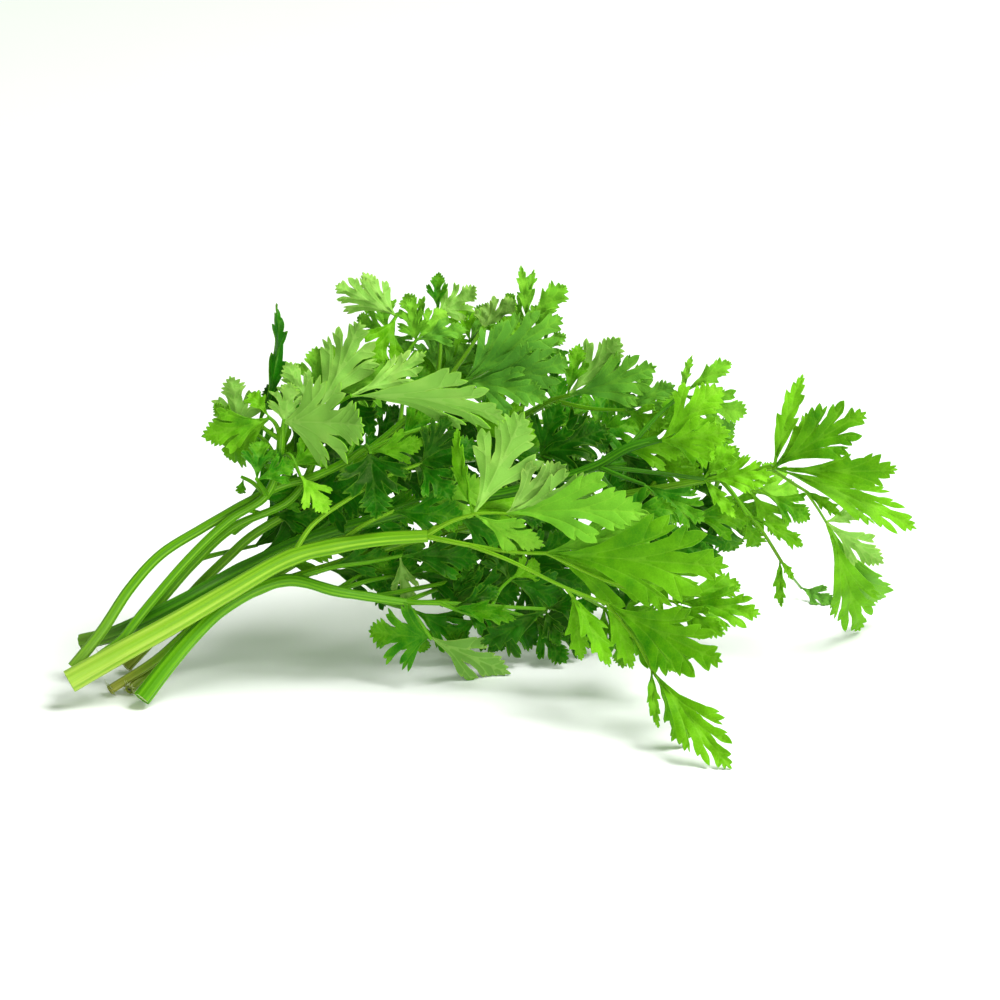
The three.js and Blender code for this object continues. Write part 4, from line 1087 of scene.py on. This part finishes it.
def path(places):
    """Points of a smooth centripetal curve through the places."""
    ends = [2 * places[0] - places[1]] + list(places) + [2 * places[-1] - places[-2]]
    points = []
    for p0, p1, p2, p3 in zip(ends, ends[1:], ends[2:], ends[3:]):
        d0, d1, d2 = (math.sqrt(np.linalg.norm(b - a)) for a, b in ((p0, p1), (p1, p2), (p2, p3)))
        leave = ((p1 - p0) / d0 - (p2 - p0) / (d0 + d1) + (p2 - p1) / d1) * d1
        arrive = ((p2 - p1) / d1 - (p3 - p1) / (d1 + d2) + (p3 - p2) / d2) * d1
        square = 3 * (p2 - p1) - 2 * leave - arrive
        cube = 2 * (p1 - p2) + leave + arrive
        shares = [i / PATH_STEPS for i in range(PATH_STEPS)]
        points += [p1 + leave * k + square * k**2 + cube * k**3 for k in shares]
    return np.array(points + [ends[-2]])


def stem_path(route, radii):
    """The points and radii of a stem along its route and how far along it each lies, in millimetres."""
    places = [spot(p) for p in route]
    places[-1] = places[-1] + unit(places[-1] - places[-2]) * KNOT
    points = path(places)
    steps = np.linalg.norm(np.diff(points, axis=0), axis=1)
    run = np.concatenate(((0.0,), np.cumsum(steps)))
    return points, radii[0] + (radii[1] - radii[0]) * run / run[-1], run


def deselect():
    """Leaves edit mode and selects nothing."""
    if bpy.context.object and bpy.context.object.mode != "OBJECT":
        bpy.ops.object.mode_set(mode="OBJECT")
    bpy.ops.object.select_all(action="DESELECT")


def choose(*objects):
    """Selects these objects alone and makes the first one active."""
    deselect()
    for item in objects:
        item.select_set(True)
    bpy.context.view_layer.objects.active = objects[0]


def linked(name, data):
    """A new object of the scene."""
    made = bpy.data.objects.new(name, data)
    bpy.context.collection.objects.link(made)
    return made


def section(name, count, radius_at):
    """A closed outline that a stem is swept from, given its radius at each angle."""
    curve = bpy.data.curves.new(name, "CURVE")
    curve.dimensions = "2D"
    spline = curve.splines.new("POLY")
    spline.points.add(count - 1)
    for i, made in enumerate(spline.points):
        angle = 2 * math.pi * i / count
        radius = radius_at(angle)
        made.co = (radius * math.cos(angle), radius * math.sin(angle), 0, 1)
    spline.use_cyclic_u = True
    return linked(name, curve)


def ribbed(angle):
    """The radius of a ribbed stalk."""
    return 1 - RIB_DEPTH / 2 + RIB_DEPTH / 2 * math.cos(RIBS * angle)


def grooved(angle):
    """The radius of a side stem with a groove along its upper side."""
    return 1 - TWIG_GROOVE * max(0.0, math.cos(angle)) ** GROOVE_POWER


def swept(name, outline, runs):
    """One mesh object of all the stems of one section, each given as points and radii."""
    curve = bpy.data.curves.new(name, "CURVE")
    curve.dimensions = "3D"
    curve.bevel_mode = "OBJECT"
    curve.bevel_object = outline
    for points, radii in runs:
        spline = curve.splines.new("POLY")
        spline.points.add(len(points) - 1)
        for made, place, radius in zip(spline.points, points, radii):
            made.co = (*(place * MM), 1)
            made.radius = radius * MM
    choose(linked(name, curve))
    bpy.ops.object.convert(target="MESH")
    bpy.ops.object.mode_set(mode="EDIT")
    bpy.ops.mesh.select_all(action="SELECT")
    bpy.ops.mesh.fill_holes(sides=0)
    bpy.ops.mesh.select_all(action="SELECT")
    bpy.ops.mesh.normals_make_consistent(inside=False)
    bpy.ops.object.mode_set(mode="OBJECT")
    return bpy.context.object


def cut_end(piece, place):
    """Sinks the pale pith into the cut end of a stalk and gives it the second material."""
    caps = [p for p in piece.data.polygons if len(p.vertices) > SIDE_CORNERS]
    end = min(caps, key=lambda p: (p.center - Vector(place * MM)).length).index
    choose(piece)
    bpy.ops.object.mode_set(mode="EDIT")
    bpy.ops.mesh.select_mode(type="FACE")
    bpy.ops.mesh.select_all(action="DESELECT")
    bpy.ops.object.mode_set(mode="OBJECT")
    piece.data.polygons[end].select = True
    bpy.ops.object.mode_set(mode="EDIT")
    bpy.ops.mesh.inset(thickness=PITH_INSET * MM, depth=-PITH_DEPTH * MM)
    piece.active_material_index = 1
    bpy.ops.object.material_slot_assign()
    bpy.ops.mesh.inset(thickness=PITH_INSET * MM, depth=0)
    bpy.ops.object.material_slot_assign()
    bpy.ops.object.mode_set(mode="OBJECT")


def side_stems(sprig, points, radii):
    """The points and radii of a stem's side stems, each no thicker than the stem that it leaves."""
    stems = [(points, radii)]
    for route, _ in sprig["twigs"] + sprig["inner"]:
        twig, _, along = stem_path(route, TWIG_RADII)
        places = np.vstack([stem for stem, _ in stems])
        widths = np.concatenate([width for _, width in stems])
        start = widths[np.linalg.norm(places - twig[0], axis=1).argmin()]
        first = min(TWIG_RADII[0], start * TWIG_SHARE)
        thickness = first + (min(TWIG_RADII[1], first) - first) * along / along[-1]
        stems.append((twig, thickness * (1 + FLARE * np.exp(-((along / FLARE_REACH) ** 2)))))
    return stems[1:]


def swollen(points, radii, run, twigs):
    """A stalk's radii, swollen wherever a side stem leaves it."""
    wide = radii.copy()
    for twig, _ in twigs:
        gaps = np.linalg.norm(points - twig[0], axis=1)
        nearest = int(gaps.argmin())
        if gaps[nearest] < NODE_REACH and nearest < len(points) - 2:
            wide = wide * (1 + NODE_SWELL * np.exp(-(((run - run[nearest]) / NODE_REACH) ** 2)))
    return np.minimum(wide, radii * (1 + NODE_SWELL))


def make_stalk(sprig, rib_section, twig_section):
    """The stalk of one stem with its side stems."""
    points, radii, run = stem_path(sprig["stalk"], sprig["radii"])
    radii = radii * STALK_SCALE
    twigs = side_stems(sprig, points, radii)
    name = sprig["name"] + "_stalk"
    skin = once("stalk_" + sprig["finish"], build_stalk, sprig["finish"])
    piece = swept(name, rib_section, [(points, swollen(points, radii, run, twigs))])
    piece.data.materials.clear()
    piece.data.materials.append(skin)
    piece.data.materials.append(once("cut_end", build_cut))
    cut_end(piece, points[0])
    side = swept(name + "_side", twig_section, twigs)
    side.data.materials.clear()
    side.data.materials.append(skin)
    choose(piece, side)
    bpy.ops.object.join()
    piece = bpy.context.object
    for vertex in piece.data.vertices:
        vertex.co = [min(max(c, a), b) for c, a, b in zip(vertex.co, *CAD_BOX)]
    bpy.ops.object.shade_smooth_by_angle(angle=STALK_CREASE)
    piece.name = name
    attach(piece, "root")
    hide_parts(sprig["name"])


def place_leaflets():
    """Every stem's leaflets in place: first those of the solids, then the inner ones between them."""
    placed = {}
    seed = 0
    for sprig in SPRIGS:
        corners = tree_of([v.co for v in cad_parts[sprig["name"]].data.vertices])
        own = placed.setdefault(sprig["name"], [])
        for route, rows in sprig["twigs"]:
            for row in rows:
                seed += 1
                own.append(Leaflet(route[-1], row, seed, chosen_bend(route[-1], row, seed, corners)))
    points = [p for own in placed.values() for leaflet in own for p in spread_points(leaflet)]
    for sprig in SPRIGS:
        points += list(stem_path(sprig["stalk"], sprig["radii"])[0])
    seed += FIRST_INNER_SEED
    for sprig in SPRIGS:
        crowd = tree_of(points)
        for route, rows in sprig["inner"]:
            for row in rows:
                seed += 1
                leaflet = clearest(route[-1], row, seed, crowd)
                placed[sprig["name"]].append(leaflet)
                points += list(spread_points(leaflet))
    return placed


def make_leaves(sprig, leaflets):
    """The leaflets of one stem as one object."""
    parts = [leaflet_mesh(leaflet) for leaflet in leaflets]
    starts = np.cumsum([0] + [len(points) for points, _, _ in parts])
    all_points = np.vstack([points for points, _, _ in parts])
    all_faces = np.vstack([faces + start for (_, faces, _), start in zip(parts, starts)])
    name = sprig["name"] + "_leaves"
    mesh = bpy.data.meshes.new(name)
    mesh.from_pydata(all_points.tolist(), [], all_faces.tolist())
    for key in parts[0][2]:
        layer = mesh.attributes.new(key, "FLOAT", "POINT")
        values = np.concatenate([part[2][key] for part in parts])
        layer.data.foreach_set("value", values.astype(np.float32))
    piece = linked(name, mesh)
    mesh.materials.append(once("leaf_upper_side", build_leaf))
    mesh.materials.append(once("leaf_underside", build_underside))
    choose(piece)
    solid = piece.modifiers.new("thickness", "SOLIDIFY")
    solid.thickness = LEAF_THICKNESS * MM
    solid.offset = 0
    solid.material_offset = 1
    bpy.ops.object.modifier_apply(modifier=solid.name)
    bpy.ops.object.shade_smooth_by_angle(angle=LEAF_CREASE)
    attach(piece, "root")
    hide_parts(sprig["name"])


class Finish:
    """One node material, built input by input."""

    def __init__(self, name):
        self.material = bpy.data.materials.new(name)
        self.material.use_nodes = True
        self.tree = self.material.node_tree
        self.surface = self.tree.nodes["Principled BSDF"]
        self.output = self.tree.nodes["Material Output"]

    def add(self, kind, inputs=(), **settings):
        """A new node with these inputs, linked or set, and these settings."""
        node = self.tree.nodes.new(kind)
        for key, value in settings.items():
            setattr(node, key, value)
        for key, value in dict(inputs).items():
            self.set(node.inputs[key], value)
        return node

    def set(self, socket, value):
        """Links a socket to a node's output, or gives it a value of its own."""
        if isinstance(value, bpy.types.NodeSocket):
            self.tree.links.new(value, socket)
        else:
            socket.default_value = value

    def shape(self, **inputs):
        """Sets inputs of the surface, with _ in place of the spaces in their names."""
        for key, value in inputs.items():
            self.set(self.surface.inputs[key.replace("_", " ")], value)

    def value(self, name):
        """A point attribute of the piece."""
        return self.add("ShaderNodeAttribute", attribute_name=name).outputs["Fac"]

    def place(self):
        """The place on the piece."""
        return self.add("ShaderNodeTexCoord").outputs["Object"]

    def span(self, value, low, high, start=0.0, end=1.0):
        """The value moved from one range to another, and held within it."""
        inputs = {"Value": value, "From Min": low, "From Max": high, "To Min": start, "To Max": end}
        return self.add("ShaderNodeMapRange", inputs).outputs["Result"]

    def maths(self, operation, a, b=0.0):
        """The outcome of one operation on two values."""
        return self.add("ShaderNodeMath", {0: a, 1: b}, operation=operation).outputs[0]

    def sum(self, first, *others):
        """The sum of the values."""
        for other in others:
            first = self.maths("ADD", first, other)
        return first

    def mix(self, share, first, second):
        """A colour between two; the second may be one colour for the whole piece."""
        if not isinstance(second, bpy.types.NodeSocket):
            second = (*second, 1.0)
        inputs = dict(zip(MIX_INPUTS, (share, first, second)))
        return self.add("ShaderNodeMix", inputs, data_type="RGBA").outputs[MIX_OUTPUT]

    def ramp(self, value, stops, colors):
        """A colour chosen by the value from those at the stops."""
        node = self.add("ShaderNodeValToRGB", {"Fac": value})
        band = node.color_ramp.elements
        while len(band) > 1:
            band.remove(band[0])
        band[0].position = stops[0]
        band[0].color = (*colors[0], 1)
        for stop, color in zip(stops[1:], colors[1:]):
            band.new(stop).color = (*color, 1)
        return node.outputs["Color"]

    def noise(self, scale, detail=2.0, vector=None):
        """A soft random pattern."""
        inputs = {"Vector": vector or self.place(), "Scale": scale, "Detail": detail}
        return self.add("ShaderNodeTexNoise", inputs).outputs["Fac"]

    def patches(self, scale, low, high):
        """Random patches with values from low to high."""
        return self.span(self.noise(scale), *NOISE_SPAN, low, high)

    def net(self):
        """The net of the finest veins, from 0 on a vein to 1 between them."""
        inputs = {"Vector": self.place(), "Scale": NET_SCALE}
        cells = self.add("ShaderNodeTexVoronoi", inputs, feature="DISTANCE_TO_EDGE")
        return self.span(cells.outputs["Distance"], 0.0, NET_WIDTH)

    def bump(self, height, strength, distance):
        """Gives the surface relief."""
        inputs = {"Height": height, "Strength": strength, "Distance": distance}
        self.shape(Normal=self.add("ShaderNodeBump", inputs).outputs["Normal"])

    def glow(self, color, share):
        """Lets light through the surface."""
        light = self.add("ShaderNodeBsdfTranslucent", {"Color": color})
        blend = self.add("ShaderNodeMixShader", {"Fac": share})
        self.tree.links.new(self.surface.outputs["BSDF"], blend.inputs[1])
        self.tree.links.new(light.outputs["BSDF"], blend.inputs[2])
        self.tree.links.new(blend.outputs[0], self.output.inputs["Surface"])


def once(name, build, *settings):
    """The material of this name, made the first time that it is asked for."""
    return bpy.data.materials.get(name) or build(Finish(name), *settings)


def faded(color, share):
    """The colour made darker."""
    return tuple(share * c for c in color)


def build_leaf(finish):
    """The upper side of the leaflets: satin, with pale veins that stand out most on bright leaflets."""
    look = bpy.context.scene.parsley_leaf
    cloud = finish.patches(CLOUD_SCALE, *CLOUD_SPAN)
    tips = finish.span(finish.value("run"), *TIP_REACH, *TIP_SPAN)
    patch = finish.patches(PATCH_SCALE, *PATCH_SPAN)
    mesh = finish.span(finish.net(), 0.0, 1.0, *NET_SPAN)
    shade = finish.sum(finish.value("tone"), cloud, tips, finish.sum(patch, mesh))
    tones = (faded(look.deep, DEEPEST), look.deep, look.middle, look.bright, look.lime)
    color = finish.mix(finish.value("grey"), finish.ramp(shade, LEAF_STOPS, tones), look.bloom)
    vein = finish.span(finish.value("vein"), *VEIN_REACH, 1.0, 0.0)
    vein = finish.maths("MULTIPLY", vein, finish.span(shade, *VEIN_TONES, *VEIN_CONTRAST))
    color = finish.mix(vein, color, look.vein)
    color = finish.mix(finish.span(finish.value("edge"), *RIM_REACH, *RIM_SPAN), color, look.lime)
    gloss = finish.span(finish.value("gloss"), 0.0, 1.0, *DULL_TO_GLOSSY)
    finish.shape(
        Base_Color=color,
        Roughness=finish.sum(gloss, finish.patches(GLOSS_SCALE, *GLOSS_SPAN)),
        Specular_IOR_Level=LEAF_SHINE,
        Specular_Tint=(*LEAF_GLINT, 1.0),
    )
    groove = finish.span(finish.value("vein"), *GROOVE_REACH)
    height = finish.sum(finish.maths("MULTIPLY", finish.net(), NET_RELIEF), groove)
    finish.bump(height, LEAF_BUMP, LEAF_RELIEF)
    finish.glow(color, look.glow)
    return finish.material


def build_underside(finish):
    """The lower side of the leaflets: paler and duller, with veins that stand out as ridges and painted
    shade beside them.
    """
    look = bpy.context.scene.parsley_leaf
    shade = finish.sum(finish.value("tone"), finish.patches(CLOUD_SCALE, *CLOUD_SPAN))
    tones = (look.middle, faded(look.underside, UNDERSIDE_SHADE), look.underside, UNDERSIDE_LIGHT)
    grey = finish.maths("MULTIPLY", finish.value("grey"), UNDERSIDE_GREY)
    color = finish.mix(grey, finish.ramp(shade, UNDERSIDE_STOPS, tones), look.bloom)
    vein, edge = finish.value("vein"), finish.value("edge")
    # Painted shade in the hollows beside the raised veins.
    color = finish.mix(finish.span(vein, *HOLLOW_SHADE_REACH, *HOLLOW_SHADE_SPAN), color, look.middle)
    color = finish.mix(finish.span(vein, *RIDGE_REACH, *RIDGE_SPAN), color, UNDERSIDE_VEIN)
    color = finish.mix(finish.span(edge, *UNDERSIDE_RIM_REACH, *UNDERSIDE_RIM_SPAN), color, UNDERSIDE_RIM)
    finish.shape(Base_Color=color, Roughness=UNDERSIDE_ROUGHNESS, Specular_IOR_Level=UNDERSIDE_SHINE)
    ridge = finish.span(vein, *RISE_REACH, 1.0, 0.0)
    height = finish.sum(finish.maths("MULTIPLY", finish.net(), UNDERSIDE_NET_RELIEF), ridge)
    finish.bump(height, LEAF_BUMP, UNDERSIDE_RELIEF)
    finish.glow(color, look.glow)
    return finish.material


def build_stalk(finish, kind):
    """A juicy stalk, darker in its grooves than on its ridges, partly by painted shade and highlight, and
    bleached next to the cut.
    """
    colors = STALK_COLORS[kind]
    surface = finish.add("ShaderNodeUVMap", uv_map="UVMap").outputs["UV"]
    parts = finish.add("ShaderNodeSeparateXYZ", {"Vector": surface})
    angle = finish.maths("MULTIPLY", parts.outputs["Y"], 2 * math.pi)
    line = finish.add("ShaderNodeCombineXYZ", {
        "X": finish.maths("COSINE", angle),
        "Y": finish.maths("SINE", angle),
        "Z": finish.maths("MULTIPLY", parts.outputs["X"], STREAK),
    }).outputs[0]
    stripe = finish.noise(STRIPE_SCALE, STRIPE_DETAIL, line)
    # Painted shade in the grooves and painted highlight on the ribs.
    rib_shade_and_highlight = finish.maths("COSINE", finish.maths("MULTIPLY", angle, float(RIBS)))
    rib_shade_and_highlight = finish.span(rib_shade_and_highlight, -1.0, 1.0, *RIB_SHADE_AND_HIGHLIGHT_SPAN)
    shade = finish.sum(finish.span(stripe, *NOISE_SPAN, *STRIPE_SPAN), rib_shade_and_highlight)
    color = finish.ramp(shade, STALK_STOPS, colors)
    along = finish.add("ShaderNodeSeparateXYZ", {"Vector": finish.place()}).outputs["X"]
    if kind in TURNS:
        later, start, end = TURNS[kind]
        other = finish.ramp(shade, STALK_STOPS, STALK_COLORS[later])
        color = finish.mix(finish.span(along, start, end), color, other)
    cloud = finish.span(finish.noise(STALK_CLOUD_SCALE), *STALK_CLOUD_REACH, *STALK_CLOUD_SPAN)
    color = finish.mix(cloud, color, faded(colors[1], STALK_SHADE))
    color = finish.mix(finish.span(along, *CUT_REACH, *CUT_SPAN), color, CUT_BLEACH)
    finish.shape(
        Base_Color=color,
        Roughness=finish.span(stripe, *NOISE_SPAN, *STRIPE_ROUGHNESS),
        Specular_IOR_Level=STALK_SHINE,
        Specular_Tint=(*STALK_GLINT, 1.0),
        Subsurface_Weight=JUICE,
        Subsurface_Radius=JUICE_COLOR,
        Subsurface_Scale=JUICE_DEPTH,
    )
    grain = finish.maths("MULTIPLY", finish.noise(STALK_GRAIN_SCALE), STALK_GRAIN)
    finish.bump(finish.sum(stripe, grain), STALK_BUMP, STALK_RELIEF)
    return finish.material


def build_cut(finish):
    """The pale, cellular flesh of a cut end."""
    pattern = finish.add("ShaderNodeTexVoronoi", {"Vector": finish.place(), "Scale": PITH_SCALE})
    cells = pattern.outputs["Distance"]
    cloud = finish.span(finish.noise(PITH_CLOUD_SCALE), *PITH_CLOUD_REACH, *PITH_CLOUD_SPAN)
    color = finish.mix(cloud, finish.ramp(cells, PITH_STOPS, PITH_COLORS), PITH_CLOUD)
    finish.shape(Base_Color=color, Roughness=PITH_ROUGHNESS)
    finish.bump(cells, PITH_BUMP, STALK_RELIEF)
    return finish.material


def build_floor(finish):
    """The smooth pale floor."""
    stage = bpy.context.scene.parsley_stage
    grain = finish.patches(FLOOR_SCALE, *FLOOR_SPAN)
    color = finish.mix(grain, (*FLOOR_GRAIN, 1.0), stage.floor_color)
    finish.shape(Base_Color=color, Roughness=FLOOR_ROUGHNESS, Specular_IOR_Level=FLOOR_SHINE)
    return finish.material


def color_setting(name, description, default):
    """A colour that the panel shows."""
    return FloatVectorProperty(name=name, description=description, subtype="COLOR", default=default)


def number_setting(name, description, subtype, default, **details):
    """A number that the panel shows; the details are its unit and its limits."""
    return FloatProperty(name=name, description=description, subtype=subtype, default=default, **details)


class ParsleyLeafSettings(bpy.types.PropertyGroup):
    """The colours of the leaflets"""

    deep: color_setting("Deep", "Colour of the darkest leaflets", (0.014, 0.18, 0.002))
    middle: color_setting("Middle", "Colour of ordinary leaflets", (0.11, 0.36, 0.004))
    bright: color_setting("Bright", "Colour of young leaflets", (0.19, 0.55, 0.01))
    lime: color_setting("Lime", "Colour of the yellowest leaflets and of edges", (0.34, 0.72, 0.04))
    bloom: color_setting("Bloom", "Dull blue-green of some leaflets", (0.13, 0.37, 0.045))
    vein: color_setting("Veins", "Colour of the veins on the upper side", (0.28, 0.62, 0.04))
    underside: color_setting("Underside", "Colour of the leaflets' pale lower side", (0.3, 0.62, 0.08))
    glow: number_setting(
        "Glow", "Share of the light that passes through a leaflet", "FACTOR", 0.27, min=0.0, max=1.0
    )


class ParsleyStageSettings(bpy.types.PropertyGroup):
    """The floor, the light and the camera"""

    floor_size: number_setting("Floor", "Side of the floor", "DISTANCE", 30.0, unit="LENGTH")
    floor_color: color_setting("Floor colour", "Colour of the floor", (0.96, 0.96, 0.96))
    sky: number_setting("Sky", "Strength of the even light from all round", "NONE", 0.34, min=0.0)
    key: number_setting("Key light", "Power of the soft light above", "POWER", 25.0, unit="POWER")
    front: number_setting("Front light", "Power of the soft light in front", "POWER", 14.0, unit="POWER")
    lens: number_setting("Lens", "Focal length", "DISTANCE_CAMERA", 500.0)


def make_floor(stage):
    """The floor that the bunch lies on."""
    bpy.ops.mesh.primitive_plane_add(size=stage.floor_size)
    floor = bpy.context.object
    floor.name = "floor"
    floor.data.materials.append(once("floor", build_floor))


def make_sky(stage):
    """The even light from all round."""
    scene = bpy.context.scene
    scene.world = bpy.data.worlds.new("sky")
    scene.world.use_nodes = True
    sky = scene.world.node_tree.nodes["Background"]
    sky.inputs["Color"].default_value = (*SKY_COLOR, 1)
    sky.inputs["Strength"].default_value = stage.sky
    scene.view_settings.view_transform = "Standard"


def make_light(name, place, size, power):
    """A soft square light that shines on the bunch."""
    bpy.ops.object.light_add(type="AREA", location=place)
    lamp = bpy.context.object
    lamp.name = name
    lamp.data.size = size
    lamp.data.energy = power
    lamp.rotation_euler = (Vector(AIM) - Vector(place)).to_track_quat("-Z", "Y").to_euler()


def make_camera(stage):
    """The camera that looks straight at the board."""
    up = (TABLE_DOWN - VIEW_CENTRE[1]) * STEP * MM
    across = (VIEW_CENTRE[0] - CENTRE_ACROSS) * STEP * MM
    centre = Vector((across, up * math.sin(LEAN) - SET_BACK * MM, up * math.cos(LEAN)))
    bpy.ops.object.camera_add()
    camera = bpy.context.object
    camera.data.lens = stage.lens
    away = VIEW_STEPS * STEP * MM / 2 / (camera.data.sensor_width / 2 / stage.lens)
    camera.location = centre + Vector(FACING) * away
    camera.rotation_euler = (-Vector(FACING)).to_track_quat("-Z", "Y").to_euler()
    camera.data.clip_start, camera.data.clip_end = CLIP
    bpy.context.scene.camera = camera


class PARSLEY_OT_stalks(bpy.types.Operator):
    """Make the stalks of all the stems, with their side stems"""

    bl_idname = "parsley.stalks"
    bl_label = "Stalks"

    def execute(self, context):
        rib_section = section("ribbed_section", RIBS * RIB_POINTS, ribbed)
        twig_section = section("grooved_section", TWIG_POINTS, grooved)
        for sprig in SPRIGS:
            make_stalk(sprig, rib_section, twig_section)
        choose(rib_section, twig_section)
        bpy.ops.object.delete()
        return {"FINISHED"}


class PARSLEY_OT_leaves(bpy.types.Operator):
    """Make the leaflets of all the stems"""

    bl_idname = "parsley.leaves"
    bl_label = "Leaves"

    def execute(self, context):
        placed = place_leaflets()
        for sprig in SPRIGS:
            make_leaves(sprig, placed[sprig["name"]])
        return {"FINISHED"}


class PARSLEY_OT_stage(bpy.types.Operator):
    """Make the pale floor, the soft light and the camera"""

    bl_idname = "parsley.stage"
    bl_label = "Stage"

    def execute(self, context):
        stage = context.scene.parsley_stage
        deselect()
        make_floor(stage)
        make_sky(stage)
        make_light("key_light", *KEY_LIGHT, stage.key)
        make_light("front_light", *FRONT_LIGHT, stage.front)
        make_camera(stage)
        return {"FINISHED"}


STEPS = (PARSLEY_OT_stage, PARSLEY_OT_stalks, PARSLEY_OT_leaves)
GROUPS = (ParsleyLeafSettings, ParsleyStageSettings)


class PARSLEY_PT_parsley(bpy.types.Panel):
    """The pieces of the bunch and their settings"""

    bl_idname = "PARSLEY_PT_parsley"
    bl_label = "Parsley Bunch"
    bl_space_type = "VIEW_3D"
    bl_region_type = "UI"
    bl_category = "Parsley"

    def draw(self, context):
        layout = self.layout
        for settings in (context.scene.parsley_leaf, context.scene.parsley_stage):
            column = layout.column(align=True)
            for name in settings.__annotations__:
                column.prop(settings, name)
        for kind in STEPS:
            layout.operator(kind.bl_idname)


def register():
    for kind in (*GROUPS, *STEPS, PARSLEY_PT_parsley):
        bpy.utils.register_class(kind)
    bpy.types.Scene.parsley_leaf = PointerProperty(type=ParsleyLeafSettings)
    bpy.types.Scene.parsley_stage = PointerProperty(type=ParsleyStageSettings)


def unregister():
    del bpy.types.Scene.parsley_stage
    del bpy.types.Scene.parsley_leaf
    for kind in (PARSLEY_PT_parsley, *reversed(STEPS), *reversed(GROUPS)):
        bpy.utils.unregister_class(kind)


def main():
    """Makes the stage and the pieces."""
    register()
    bpy.ops.parsley.stage()
    bpy.ops.parsley.stalks()
    bpy.ops.parsley.leaves()
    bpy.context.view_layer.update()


if __name__ == "__main__":
    main()
